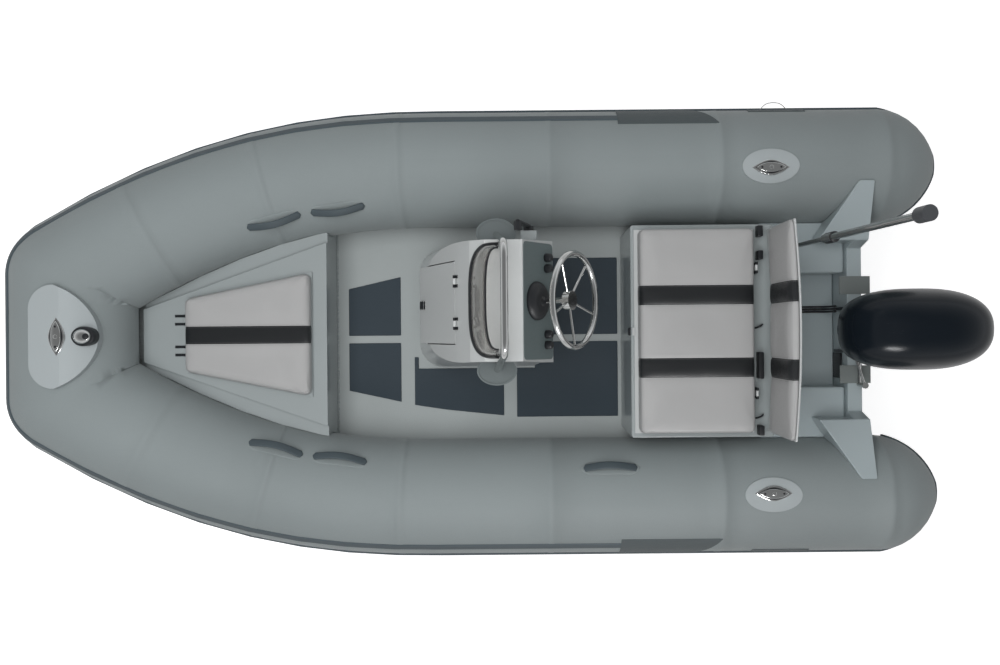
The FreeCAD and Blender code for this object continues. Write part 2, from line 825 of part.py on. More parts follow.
def build_stern_fittings():
    skin = tube_solid(S.stern_pad_depth).cut(TUBE_SEAT)
    high = S.tube_level + S.tube_radius
    pad_centre = Vector(-S.stern_cleat_back, S.stern_cleat_offset, S.tube_level)
    pad = skin.common(ellipse_slab(S.stern_pad_length, S.stern_pad_width, pad_centre, 2 * S.tube_radius))
    feature("stern_cleat_pads", Part.makeCompound(both_sides(pad)))
    cleat = ellipse_slab(S.stern_cleat_length, S.stern_cleat_width,
                         Vector(-S.stern_cleat_back, S.stern_cleat_offset, high - S.cleat_height),
                         S.cleat_height + S.stern_pad_depth + S.cleat_height)
    cleat = cleat.cut(tube_solid(S.stern_pad_depth + S.seat_gap))
    feature("stern_cleats", Part.makeCompound(both_sides(cleat)))


def handle_shape():
    """An arched strap on a lens-shaped pad, along X with the tube's surface at zero."""
    half = S.handle_length / 2
    rise = S.handle_rise
    foot = half / 3
    low = S.handle_base_thickness
    pad = lens_slab(S.handle_length, S.handle_base_width, S.seat_gap, low)
    points = [Vector(-half, 0, low), Vector(-half + foot, 0, low), Vector(-foot, 0, rise),
              Vector(foot, 0, rise), Vector(half - foot, 0, low), Vector(half, 0, low)]
    under = [p - UP * S.handle_thickness for p in points]
    profile = [p - PORT * (S.handle_width / 2) for p in points + list(reversed(under))]
    strap = prism(profile, PORT * S.handle_width)
    strap = strap.common(lens_slab(S.handle_length, S.handle_base_width, S.seat_gap + low / 2, 2 * rise))
    return fuse([pad, strap])


def lens_slab(length, width, low, height):
    """A block whose plan is two arcs that meet in blunt ends, its length along X."""
    half = length / 2
    blunt = width / 4
    ends = [Vector(-half, -blunt, low), Vector(half, -blunt, low), Vector(half, blunt, low), Vector(-half, blunt, low)]
    wire = arc_outline(ends, [Vector(0, -width / 2, low), Vector(half + blunt / 2, 0, low),
                              Vector(0, width / 2, low), Vector(-half - blunt / 2, 0, low)])
    return Part.Face(wire).extrude(UP * height)


def place_handle(x, inboard_angle, side):
    shape = handle_shape()
    shape.translate(Vector(0, 0, S.tube_radius))
    shape.rotate(ORIGIN, FORE, inboard_angle)
    centre = tube_centre(x)
    heading = tube_heading(x)
    turn = Rotation(FORE, heading)
    moved = placed(shape, Placement(centre, turn)).cut(TUBE_SEAT)
    return moved if side > 0 else moved.mirror(ORIGIN, PORT)


def build_handles():
    grips = []
    for side in (1, -1):
        grips.append(place_handle(S.handle_fore, S.handle_lean, side))
        grips.append(place_handle(S.handle_mid, S.handle_lean, side))
    grips.append(place_handle(-S.handle_aft_back, S.handle_aft_lean, 1))
    feature("grab_handles", Part.makeCompound(grips))


def build_transom():
    aft = -S.hull_end
    fore = aft + S.transom_thickness
    side = S.chine_half_width
    half = [
        (0, S.under_deck_level), (side, S.under_deck_level), (side, S.transom_side_top),
        (S.wing_inner, S.transom_side_top), (S.transom_notch_half_width, S.transom_top), (0, S.transom_top),
    ]
    outline = [Vector(aft, y, z) for y, z in half] + [Vector(aft, -y, z) for y, z in reversed(half[1:-1])]
    board = prism(outline, Vector(S.transom_thickness, 0, 0))
    wing = slab([
        (-S.wing_tip_back, S.wing_inner), (-S.wing_knee_back, S.wing_outer),
        (aft, S.wing_outer), (aft, S.wing_inner)], S.aft_deck_level, S.wing_outer_top)
    run = S.tube_offset
    slope = (S.wing_outer_top - S.transom_side_top) / (S.wing_outer - S.wing_inner)
    wedge = prism([
        Vector(aft, S.wing_inner, S.under_deck_level), Vector(aft, run, S.under_deck_level),
        Vector(aft, run, S.transom_side_top + slope * (run - S.wing_inner)),
        Vector(aft, S.wing_inner, S.transom_side_top)], Vector(S.hull_end, 0, 0))
    wing = wing.common(wedge)
    whole = board.fuse(both_sides(wing)).cut(TUBE_SEAT).removeSplitter()
    feature("transom", whole)
    for side, name in ((1, "port"), (-1, "starboard")):
        pad = block_body("engine_pad_" + name, "-hull_end - (engine_pad_length - transom_thickness) / 2",
                         "-hull_end - (engine_pad_length - transom_thickness) / 2 + engine_pad_length",
                         "engine_pad_width / 2", "transom_top + seat_gap", "engine_pad_thickness",
                         "%d * engine_pad_offset" % side)
        keep(pad, "engine_pad_" + name)


def build_aft_deck():
    aft = -S.hull_end + S.transom_thickness + S.seat_gap
    fore = -S.seat_aft - S.seat_gap
    base = S.under_deck_level + S.deck_thickness
    deck = box(aft, fore, -S.chine_half_width, S.chine_half_width, base, S.aft_deck_level)
    well = box(aft - S.transom_thickness, fore - S.well_front_wall, -S.well_half_width, S.well_half_width,
               S.well_level, 2 * S.aft_deck_level)
    feature("aft_deck", deck.cut([well, TUBE_SEAT]))


def console_profile(inset):
    """The console's side outline, inset by a wall, as points in XZ from the helm side's foot."""
    base = S.under_deck_level + S.deck_thickness
    points = [
        Vector(-S.console_base_aft, 0, base),
        Vector(-S.console_knee_aft, 0, S.console_knee_level),
        Vector(-S.console_dash_low_aft, 0, S.console_dash_low_level),
        Vector(-S.console_dash_top_aft, 0, S.console_top_level),
        Vector(-S.console_top_fore, 0, S.console_top_level),
        Vector(S.console_brow_fore, 0, S.console_brow_level),
        Vector(S.console_nose_fore, 0, S.console_nose_level),
        Vector(S.console_base_fore, 0, base),
    ]
    wire = polygon(points)
    if inset:
        wire = wire.makeOffset2D(-inset, 2)
    return wire


def console_solid(inset):
    """A side outline pushed across, trimmed by a tapering plan with round front corners."""
    width = 2 * S.console_base_half_width
    middle = -S.console_offset
    face = Part.Face(console_profile(inset))
    face.translate(Vector(0, middle - width, 0))
    sides = face.extrude(Vector(0, 2 * width, 0))
    base = S.under_deck_level + S.deck_thickness
    rings = []
    for level, half in ((base, S.console_base_half_width), (S.console_top_level, S.console_top_half_width)):
        half = half - inset
        round_off = S.console_corner - inset
        aft = -S.console_dash_low_aft - S.console_corner
        fore = S.console_base_fore - inset if level == base else S.console_brow_fore + S.console_corner - inset
        points = [
            Vector(aft, middle - half, level), Vector(fore - round_off, middle - half, level),
            Vector(fore, middle - half + round_off, level), Vector(fore, middle + half - round_off, level),
            Vector(fore - round_off, middle + half, level), Vector(aft, middle + half, level),
        ]
        bulge = round_off * (1 - math.sqrt(0.5))
        edges = [
            Part.LineSegment(points[0], points[1]).toShape(),
            Part.Arc(points[1], Vector(fore - bulge, middle - half + bulge, level), points[2]).toShape(),
            Part.LineSegment(points[2], points[3]).toShape(),
            Part.Arc(points[3], Vector(fore - bulge, middle + half - bulge, level), points[4]).toShape(),
            Part.LineSegment(points[4], points[5]).toShape(),
            Part.LineSegment(points[5], points[0]).toShape(),
        ]
        rings.append(Part.Wire(edges))
    return sides.common(Part.makeLoft(rings, True, True))


def front_point(share):
    """A point on the console's sloping front, from its nose up to its brow."""
    low = Vector(S.console_nose_fore, -S.console_offset, S.console_nose_level)
    high = Vector(S.console_brow_fore, -S.console_offset, S.console_brow_level)
    return low + (high - low) * share


def front_normal():
    along = (front_point(1) - front_point(0)).normalize()
    return Vector(along.z, 0, -along.x)


def hatch_block(margin, low, high):
    """A block over the hatch, from one depth to another along the front's normal."""
    start = front_point(S.hatch_low_share)
    end = front_point(S.hatch_high_share)
    along = (end - start).normalize()
    normal = front_normal()
    half = S.hatch_half_width + margin
    first = start - along * margin
    last = end + along * margin
    outline = [first + normal * low, last + normal * low, last + normal * high, first + normal * high]
    outline = [p - PORT * half for p in outline]
    return prism(outline, PORT * (2 * half))


def build_console():
    outer = console_solid(0)
    inner = console_solid(S.console_wall)
    shell = outer.cut(inner)
    opening = hatch_block(0, -4 * S.console_wall, S.console_wall)
    normal = front_normal()
    shell = shell.cut(opening)
    dash = dash_point()
    shell = shell.cut(cylinder(S.shaft_radius + S.shaft_gap, dash + dash_normal() * S.bezel_height,
                               dash - dash_normal() * (3 * S.console_wall)))
    feature("console_shell", shell)
    fixed = []
    moving = []
    axis = hatch_axis()
    hatch = hatch_block(-S.hatch_gap, -S.console_wall, S.seat_gap)
    for side in (-1, 1):
        centre = axis + PORT * (side * S.hatch_half_width / 2)
        still, free = console_hinge(centre)
        fixed.append(still)
        moving.append(free)
    feature("hatch_hinges", Part.makeCompound(fixed))
    latch_place = front_point(S.hatch_low_share) + (front_point(1) - front_point(0)).normalize() * S.latch_height
    latch = Part.makeBox(S.latch_height, S.latch_width, S.latch_depth)
    latch.translate(Vector(-S.latch_height / 2, -S.latch_width / 2, 0))
    latch = placed(latch, Placement(latch_place, Rotation(UP, normal)))
    feature("console_hatch", fuse([hatch] + moving + [latch]))


def hatch_axis():
    along = (front_point(1) - front_point(0)).normalize()
    return front_point(S.hatch_high_share) + along * (S.knuckle_radius + S.hatch_gap) + front_normal() * (
        S.knuckle_radius + S.seat_gap)


def console_hinge(centre):
    """Both halves of a hatch hinge, turned to lie on the sloping front."""
    reach = 3 * S.knuckle_radius
    drop = -S.knuckle_radius
    still, free = hinge(ORIGIN, Vector(-reach, 0, drop - S.seat_gap), Vector(reach, 0, drop))
    turn = Placement(centre, Rotation(UP, front_normal()))
    return placed(still, turn), placed(free, turn)


def dash_normal():
    run = Vector(S.console_dash_low_aft - S.console_dash_top_aft, 0, S.console_top_level - S.console_dash_low_level)
    return Vector(-run.z, 0, run.x).normalize()


def dash_point():
    """Where the helm's shaft meets the sloping dash."""
    low = Vector(-S.console_dash_low_aft, -S.console_offset, S.console_dash_low_level)
    high = Vector(-S.console_dash_top_aft, -S.console_offset, S.console_top_level)
    return low + (high - low) * S.helm_share


def build_screen():
    middle = -S.console_offset
    rings = []
    for level, x, half in (
            (S.screen_base_level, S.screen_base_fore, S.screen_half_width),
            (S.screen_base_level + S.screen_height, S.screen_base_fore - S.screen_rake,
             S.screen_half_width - S.screen_sagitta / 2)):
        back = x - S.screen_sagitta
        thick = S.screen_thickness
        outer = Part.Arc(Vector(back, middle - half, level), Vector(x, middle, level), Vector(back, middle + half, level))
        inner = Part.Arc(Vector(back - thick, middle + half, level), Vector(x - thick, middle, level),
                         Vector(back - thick, middle - half, level))
        edges = [
            outer.toShape(),
            Part.LineSegment(Vector(back, middle + half, level), Vector(back - thick, middle + half, level)).toShape(),
            inner.toShape(),
            Part.LineSegment(Vector(back - thick, middle - half, level), Vector(back, middle - half, level)).toShape(),
        ]
        rings.append(Part.Wire(edges))
    screen = Part.makeLoft(rings, True, True)
    feature("windshield", screen.cut(console_solid(0)))
    rail = rod([
        Vector(-S.rail_foot_aft, middle - S.rail_foot_half_width, S.rail_foot_level - S.rail_radius),
        Vector(-S.rail_top_aft, middle - S.rail_top_half_width, S.rail_top_level),
        Vector(-S.rail_top_aft, middle + S.rail_top_half_width, S.rail_top_level),
        Vector(-S.rail_foot_aft, middle + S.rail_foot_half_width, S.rail_foot_level - S.rail_radius)],
        S.rail_bend, S.rail_radius)
    under = box(-2 * S.rail_foot_aft, 0, middle - 2 * S.tray_offset, middle + 2 * S.tray_offset,
                S.rail_foot_level - 2 * S.rail_radius, S.rail_foot_level)
    feature("console_rail", rail.cut([console_solid(-S.seat_gap), under]))
    trays = []
    for side in (-1, 1):
        place = Vector(-S.rail_foot_aft, middle + side * S.tray_offset, S.tray_level)
        dish = ellipse_slab(S.tray_length, S.tray_width, place, S.tray_height)
        dip = ellipse_slab(S.tray_length - 2 * S.tray_rim, S.tray_width - 2 * S.tray_rim,
                           place + UP * (S.tray_height - S.tray_dip), S.tray_height)
        trays.append(dish.cut([dip, console_solid(-S.seat_gap)]))
    feature("rail_trays", Part.makeCompound(trays))


def build_helm():
    normal = dash_normal()
    dash = dash_point()
    bezel = cylinder(S.bezel_radius, dash + normal * S.seat_gap, dash + normal * S.bezel_height)
    bezel = bezel.cut(cylinder(S.shaft_radius + S.shaft_gap, dash, dash + normal * (2 * S.bezel_height)))
    shapes = [bezel]
    low = Vector(-S.console_dash_low_aft, 0, S.console_dash_low_level)
    high = Vector(-S.console_dash_top_aft, 0, S.console_top_level)
    place = low + (high - low) * S.knob_share
    spread = S.bezel_radius * 2
    for side in (-1, 1):
        for step in (0, 1):
            y = -S.console_offset + side * (spread + step * 3 * S.knob_radius)
            foot = Vector(place.x, y, place.z) + normal * S.seat_gap
            shapes.append(cylinder(S.knob_radius, foot, foot + normal * S.knob_height))
    feature("dash_controls", Part.makeCompound(shapes))
    hub = dash + normal * S.wheel_reach
    rim = Part.makeTorus(S.wheel_radius, S.wheel_rim, hub, normal)
    boss = cylinder(S.wheel_hub_radius, hub - normal * S.wheel_dish, hub - normal * (S.wheel_dish - S.wheel_hub_depth))
    shaft = cylinder(S.shaft_radius, dash - normal * (2 * S.console_wall), hub - normal * (S.wheel_dish / 2))
    pieces = [rim, boss, shaft]
    centre = hub - normal * (S.wheel_dish - S.wheel_hub_depth / 2)
    for i in range(SPOKES):
        angle = 360 * i / SPOKES
        out = Rotation(normal, angle).multVec(PORT)
        pieces.append(cylinder(S.spoke_radius, centre + out * (S.wheel_hub_radius / 2), hub + out * S.wheel_radius))
    feature("helm_wheel", fuse(pieces))


def build_console_extras():
    middle = -S.console_offset
    side = middle - S.console_top_half_width - S.throttle_depth / 2
    x = -S.throttle_back
    level = S.console_dash_low_level
    body = box(x - S.throttle_length / 2, x + S.throttle_length / 2, side - S.throttle_depth / 2,
               side + S.throttle_depth, level - S.throttle_height / 2, level + S.throttle_height / 2)
    body = body.cut(console_solid(-S.seat_gap))
    feature("throttle_box", body)
    foot = Vector(x, side - S.throttle_depth / 2, level + S.throttle_height / 4)
    knuckle = foot - PORT * (2 * S.throttle_lever_radius)
    tip = knuckle + Vector(S.throttle_lever_length / 4, 0, S.throttle_lever_length)
    lever = fuse([cylinder(2 * S.throttle_lever_radius, foot, knuckle), cylinder(S.throttle_lever_radius, knuckle, tip),
                  cylinder(1.5 * S.throttle_lever_radius, tip, tip + PORT * S.throttle_length / 2)])
    feature("throttle_lever", lever)


def build_seat():
    outer = bound("Part::Box", "SeatOuter", Length="seat_aft - seat_fore", Width="2 * seat_half_width",
                  Height="seat_box_level - under_deck_level - deck_thickness", x="-seat_aft", y="-seat_half_width",
                  z="under_deck_level + deck_thickness")
    inner = bound("Part::Box", "SeatInner", Length="seat_aft - seat_fore - 2 * seat_wall",
                  Width="2 * (seat_half_width - seat_wall)",
                  Height="seat_box_level - under_deck_level - deck_thickness - 2 * seat_wall",
                  x="-seat_aft + seat_wall", y="-seat_half_width + seat_wall",
                  z="under_deck_level + deck_thickness + seat_wall")
    mouth = bound("Part::Box", "SeatMouth", Length="cushion_aft - cushion_fore - 2 * seat_mouth_margin",
                  Width="2 * (cushion_half_width - seat_mouth_margin)", Height="4 * seat_wall",
                  x="-cushion_aft + seat_mouth_margin", y="-cushion_half_width + seat_mouth_margin",
                  z="seat_box_level - 2 * seat_wall")
    hollow = boolean("Part::Cut", "SeatHollow", outer, inner)
    keep(boolean("Part::Cut", "SeatBox", hollow, mouth), "seat_box")
    low = S.seat_box_level + S.seat_gap
    fixed = []
    moving = []
    centre = Vector(-S.seat_hinge_back, 0, S.seat_hinge_level)
    drop = UP * (S.seat_box_level - S.seat_hinge_level)
    for side in (-1, 1):
        place = centre + PORT * (side * S.seat_hinge_offset)
        still, free = hinge(place, drop - FORE, FORE + drop + UP * (S.seat_gap + S.seat_lid_thickness / 2))
        fixed.append(still)
        moving.append(free)
    feature("seat_hinges", Part.makeCompound(fixed))
    rear = -S.seat_hinge_back + S.knuckle_radius - S.leaf_thickness
    plate = box(rear, -S.cushion_fore + S.seat_wall, -S.cushion_half_width, S.cushion_half_width,
                low, low + S.seat_lid_thickness)
    for side in (-1, 1):
        y = side * S.seat_hinge_offset
        edge = S.knuckle_length / 2 + S.knuckle_gap
        for end in (-1, 1):
            near = y + end * edge
            far = y + end * 3 * edge
            plate = plate.cut(box(rear - S.knuckle_radius, -S.cushion_aft, min(near, far), max(near, far),
                                  low - S.knuckle_radius, low + S.seat_lid_thickness + S.knuckle_radius))
    latch = box(-S.cushion_fore + S.seat_wall, -S.cushion_fore + S.seat_wall + S.latch_depth, -S.latch_width / 2,
                S.latch_width / 2, low, low + S.latch_height / 2)
    feature("seat_lid", fuse([plate, latch] + moving))
    keep(block_body("seat_cushion", "-cushion_aft", "-cushion_fore", "cushion_half_width",
                    "seat_box_level + seat_gap + seat_lid_thickness", "cushion_thickness", "0", "cushion_round"),
         "seat_cushion")
    rear = -S.seat_aft
    inner = rear + S.panel_thickness
    feature("backrest_panel", bowed_block(rear, inner, S.panel_bow, S.panel_half_width,
                                          S.seat_box_level + S.seat_gap, S.panel_top))
    near = inner + S.seat_gap
    pad = bowed_block(near, near + S.back_cushion_thickness, 0, S.panel_half_width, S.back_cushion_low, S.panel_top)
    pad = pad.makeFillet(S.back_cushion_round, pad.Edges)
    feature("back_cushion", pad)


def bowed_block(rear, fore, front_bow, half, low, high):
    """An upright board whose rear bows aft in its middle, with a straight or a bowed front."""
    bow = S.panel_bow
    corners = [Vector(rear + bow, -half, low), Vector(rear + bow, half, low),
               Vector(fore + front_bow, half, low), Vector(fore + front_bow, -half, low)]
    front = Vector(fore, 0, low) if front_bow else None
    wire = arc_outline([corners[1], corners[0], corners[3], corners[2]], [Vector(rear, 0, low), None, front, None])
    return Part.Face(wire).extrude(UP * (high - low))


def build_pole():
    foot = Vector(-S.pole_back, -S.pole_offset, S.aft_deck_level)
    lean = Vector(-S.pole_rake, 0, S.pole_top - S.aft_deck_level)
    along = lean * (1 / lean.Length)

    def at(level):
        return foot + lean * ((level - S.aft_deck_level) / (S.pole_top - S.aft_deck_level))

    base = cylinder(S.pole_foot_radius, foot, foot + UP * S.pole_foot_height)
    feature("pole_base", base.cut(cylinder(S.pole_thin_radius + S.seat_gap, at(S.aft_deck_level + S.pole_foot_height / 3),
                                           at(S.aft_deck_level + 2 * S.pole_foot_height))))
    start = at(S.aft_deck_level + S.pole_foot_height / 2)
    pole = fuse([cylinder(S.pole_thin_radius, start, at(S.pole_sleeve_low)),
                 cylinder(S.pole_sleeve_radius, at(S.pole_sleeve_low), at(S.pole_sleeve_high)),
                 cylinder(S.pole_radius, at(S.pole_sleeve_high), at(S.pole_top))])
    feature("light_pole", pole)
    top = at(S.pole_top)
    feature("pole_light", cylinder(S.pole_head_radius, top, top + along * S.pole_head_height))


def tilt_axis(y):
    return Vector(-S.tilt_back, y, S.tilt_level)


def build_clamp():
    plates = []
    aft = -S.hull_end - S.seat_gap
    fore = -S.hull_end + S.transom_thickness + S.seat_gap
    top = S.transom_top + S.seat_gap
    for side in (-1, 1):
        near = side * S.clamp_plate_inner
        far = side * (S.clamp_plate_inner + S.clamp_plate_thickness)
        low = min(near, far)
        high = max(near, far)
        behind = aft - S.clamp_aft_depth
        ahead = fore + S.clamp_fore_depth
        shoulder = S.tilt_level - S.clamp_shoulder
        outline = [
            (behind, S.clamp_low), (aft, S.clamp_low), (aft, top), (fore, top), (fore, S.clamp_fore_low),
            (ahead, S.clamp_fore_low), (ahead, shoulder), (ahead - S.clamp_shoulder, S.tilt_level),
            (behind + S.clamp_shoulder, S.tilt_level), (behind, shoulder),
        ]
        plates.append(prism([Vector(x, low, z) for x, z in outline], PORT * (high - low)))
        plates.append(cylinder(S.clamp_round, tilt_axis(low), tilt_axis(high)))
    tube = cylinder(S.tilt_tube_radius, tilt_axis(-S.tilt_tube_half_length), tilt_axis(S.tilt_tube_half_length))
    bore = cylinder(S.ram_radius + S.shaft_gap, tilt_axis(-2 * S.tilt_tube_half_length), tilt_axis(2 * S.tilt_tube_half_length))
    cross = box(aft - S.clamp_aft_depth / 2, aft, -S.clamp_plate_inner, S.clamp_plate_inner,
                S.clamp_low, S.clamp_low + S.clamp_aft_depth)
    feature("clamp_bracket", fuse(plates + [tube, cross]).cut(bore))


def build_swivel():
    knuckles = []
    half = S.swivel_half_width
    steer = Vector(-S.steer_back, 0, 0)
    tube = cylinder(S.swivel_tube_radius, steer - UP * S.swivel_low, steer + UP * S.swivel_high)
    for side in (-1, 1):
        near = side * half
        far = side * (half - S.swivel_cheek)
        low = min(near, far)
        high = max(near, far)
        knuckles.append(cylinder(S.swivel_round, tilt_axis(low), tilt_axis(high)))
        arm = prism([
            Vector(-S.tilt_back, low, S.tilt_level + S.swivel_round),
            Vector(-S.tilt_back, low, S.tilt_level - S.swivel_round),
            Vector(-S.hull_end - S.clamp_aft_depth, low, S.tilt_level - S.swivel_round),
            Vector(-S.hull_end - S.clamp_aft_depth, low, 0),
            Vector(-S.steer_back + S.swivel_tube_radius / 2, low, 0),
            Vector(-S.steer_back + S.swivel_tube_radius / 2, low, S.tilt_level + S.swivel_round),
        ], Vector(0, high - low, 0))
        knuckles.append(arm)
    web = box(-S.steer_back, -S.hull_end - S.clamp_aft_depth, -half, half, 0, S.tilt_level - S.swivel_round)
    whole = fuse([tube, web] + knuckles)
    whole = whole.cut(cylinder(S.tilt_tube_radius + S.shaft_gap, tilt_axis(-2 * half), tilt_axis(2 * half)))
    whole = whole.cut(cylinder(S.steer_shaft_radius + S.shaft_gap, steer - UP * (2 * S.swivel_low), steer + UP * (2 * S.swivel_high)))
    feature("swivel_bracket", whole)


def build_ram():
    end = tilt_axis(S.ram_end)
    shaft = cylinder(S.ram_radius, tilt_axis(-S.ram_start), end)
    tip = Vector(-S.steer_back + S.steer_arm_reach, 0, S.link_level)
    post_top = Vector(end.x, end.y, S.link_level)
    post = cylinder(S.link_post_radius, end - UP * (1.5 * S.ram_radius), post_top)
    link = cylinder(S.link_radius, post_top, tip)
    rise = UP * (S.link_eye_height / 2)
    eyes = [cylinder(S.link_eye_radius, place - rise, place + rise) for place in (tip, post_top)]
    feature("steering_link", fuse([shaft, post, link] + eyes))


def arc_outline(corners, middles):
    """A closed wire of arcs from corner to corner, each through its own middle point; no middle is a line."""
    edges = []
    for i, middle in enumerate(middles):
        start = corners[i]
        end = corners[(i + 1) % len(corners)]
        edge = Part.Arc(start, middle, end) if middle else Part.LineSegment(start, end)
        edges.append(edge.toShape())
    return Part.Wire(edges)


def egg(level, share):
    """The cowl's plan outline at a level, scaled about its widest station."""
    fore = (S.cowl_widest - S.cowl_fore) * share
    aft = (S.cowl_aft - S.cowl_widest) * share
    half = S.cowl_half_width * share

    def at(along, across):
        return Vector(-S.cowl_widest + (fore if along > 0 else aft) * along, half * across, level)

    nose_share, shoulder_share = EGG_NOSE_SHARES
    tail_share, hip_share = EGG_TAIL_SHARES
    corners = [at(nose_share[0], -nose_share[1]), at(*nose_share), at(0, 1), at(-tail_share[0], tail_share[1]),
               at(-tail_share[0], -tail_share[1]), at(0, -1)]
    middles = [at(1, 0), at(*shoulder_share), at(-hip_share[0], hip_share[1]), at(-1, 0),
               at(-hip_share[0], -hip_share[1]), at(shoulder_share[0], -shoulder_share[1])]
    return arc_outline(corners, middles)


def airfoil(level, fore, aft, half_width):
    """A streamlined plan section with a round nose and a thin tail."""
    def at(along, across):
        return Vector(-fore - (aft - fore) * along, half_width * across, level)

    nose_share, belly_share, tail_share = FOIL_SHARES
    corners = [at(nose_share[0], -nose_share[1]), at(*nose_share), at(*tail_share), at(tail_share[0], -tail_share[1])]
    middles = [at(0, 0), at(*belly_share), None, at(belly_share[0], -belly_share[1])]
    return arc_outline(corners, middles)


def build_outboard():
    steer = Vector(-S.steer_back, 0, 0)
    low = -S.swivel_low - S.steer_arm_thickness - S.shaft_gap
    shaft = cylinder(S.steer_shaft_radius, steer + UP * low, steer + UP * (S.steer_arm_level + S.steer_arm_thickness))
    level = S.steer_arm_level
    half = S.steer_arm_width / 2
    reach = S.steer_arm_reach
    arm = box(-S.steer_back, -S.steer_back + reach, -half, half, level, level + S.steer_arm_thickness)
    eye = cylinder(half, steer + Vector(reach, 0, level), steer + Vector(reach, 0, level + S.steer_arm_thickness))
    yoke = box(-S.leg_fore - S.leg_half_width, -S.steer_back, -S.leg_half_width / 2, S.leg_half_width / 2,
               level, level + S.steer_arm_thickness)
    hub = cylinder(S.swivel_tube_radius, steer + UP * level, steer + UP * (level + S.steer_arm_thickness))
    foot = box(-S.leg_fore - S.leg_half_width, -S.steer_back + S.steer_shaft_radius, -S.leg_half_width / 2,
               S.leg_half_width / 2, low, low + S.steer_arm_thickness)
    leg = Part.makeLoft([airfoil(-S.plate_level, S.leg_fore, S.leg_aft, S.leg_low_half_width),
                         airfoil(S.leg_top / 2, S.leg_fore, S.leg_aft, S.leg_half_width),
                         airfoil(S.leg_top, S.leg_fore, S.leg_aft, S.leg_top_half_width)], True, True)
    plate = slab([
        (-S.leg_fore + S.leg_half_width / 2, 0), (-S.leg_fore, S.plate_half_width / 2),
        (-S.leg_aft, S.plate_half_width), (-S.plate_aft, S.plate_half_width),
        (-S.plate_aft, -S.plate_half_width), (-S.leg_aft, -S.plate_half_width),
        (-S.leg_fore, -S.plate_half_width / 2)], -S.plate_level - S.plate_thickness, -S.plate_level)
    strut = Part.makeLoft([airfoil(-S.plate_level, S.leg_fore, S.leg_aft, S.leg_low_half_width),
                           airfoil(-S.gear_level, S.gear_fore + S.gear_radius, S.gear_aft - S.gear_radius / 2,
                                   S.leg_low_half_width)], True, True)
    nose = Vector(-S.gear_fore, 0, -S.gear_level)
    rim = Vector(-S.gear_fore - 2 * S.gear_radius, 0, -S.gear_level + S.gear_radius)
    quarter = Vector(-S.gear_fore - 0.6 * S.gear_radius, 0, -S.gear_level + 0.72 * S.gear_radius)
    rear = Vector(-S.gear_aft, 0, -S.gear_level + S.propeller_hub_radius)
    back = Vector(-S.gear_aft, 0, -S.gear_level)
    torpedo = Part.Face(Part.Wire([
        Part.Arc(nose, quarter, rim).toShape(), Part.LineSegment(rim, rear).toShape(),
        Part.LineSegment(rear, back).toShape(), Part.LineSegment(back, nose).toShape()])).revolve(nose, FORE, 360)
    thick = S.skeg_thickness
    skeg = prism([
        Vector(-S.leg_fore, -thick / 2, -S.gear_level), Vector(-S.leg_aft + S.gear_radius, -thick / 2, -S.gear_level),
        Vector(-S.leg_aft, -thick / 2, -S.skeg_low), Vector(-S.leg_aft + 2 * S.gear_radius, -thick / 2, -S.skeg_low)],
        PORT * thick)
    feature("outboard_leg", fuse([leg, strut, torpedo, skeg, plate, foot, yoke, hub, shaft, arm, eye]))
    pan = Part.makeLoft([egg(S.pan_level + (S.cowl_parting - S.pan_level) * up, share) for up, share in PAN_SHARES],
                        True, True)
    feature("outboard_pan", pan)
    base = S.cowl_parting + S.cowl_gap
    height = S.cowl_top - base
    outer = Part.makeLoft([egg(base + height * up, share) for up, share in COWL_SHARES], True, True)
    wall = S.cowl_wall
    grow = 1 - wall / S.cowl_half_width
    inner = Part.makeLoft([egg(base + wall + (height - 2 * wall) * up, share * grow) for up, share in COWL_INNER_SHARES],
                          True, True)
    feature("outboard_cowl", outer.cut(inner))
    head = box(-S.cowl_widest - S.powerhead_length / 2, -S.cowl_widest + S.powerhead_length / 2,
               -S.powerhead_width / 2, S.powerhead_width / 2,
               base + wall + S.cowl_gap, base + wall + S.cowl_gap + S.powerhead_height)
    feature("powerhead", head)


def blade():
    """One propeller blade from lens sections that turn with the pitch."""
    rings = []
    for radius_share, chord_share in BLADE_SHARES:
        radius = S.propeller_radius * radius_share
        half = S.blade_chord * chord_share / 2
        thick = S.blade_thickness * (1 - radius_share / 2)
        angle = math.atan2(S.propeller_pitch, 2 * math.pi * radius)
        ends = [Vector(-half, 0, radius), Vector(half, 0, radius)]
        wire = arc_outline(ends, [Vector(0, thick / 2, radius), Vector(0, -thick / 2, radius)])
        wire.rotate(ORIGIN, UP, math.degrees(angle))
        rings.append(wire)
    return Part.makeLoft(rings, True, True)


def build_propeller():
    centre = Vector(-S.gear_aft - S.propeller_gap - S.propeller_hub_length / 2, 0, -S.gear_level)
    front = centre + FORE * (S.propeller_hub_length / 2)
    hub = cylinder(S.propeller_hub_radius, centre - FORE * (S.propeller_hub_length / 2), front)
    pieces = [hub]
    for i in range(BLADES):
        wing = blade()
        wing.rotate(ORIGIN, UP, 90)
        wing.rotate(ORIGIN, FORE, 360 * i / BLADES)
        wing.translate(centre)
        pieces.append(wing)
    feature("propeller", fuse(pieces))


def eye_ring():
    """A flat ring with a bore along Y, standing on a shank."""
    outer = S.eye_radius + S.eye_ring
    half = S.eye_thickness / 2
    ring = cylinder(outer, PORT * -half, PORT * half)
    shank = box(-3 * outer, 0, -half, half, -S.eye_ring, S.eye_ring)
    return ring.fuse(shank).cut(cylinder(S.eye_radius, PORT * -outer, PORT * outer))


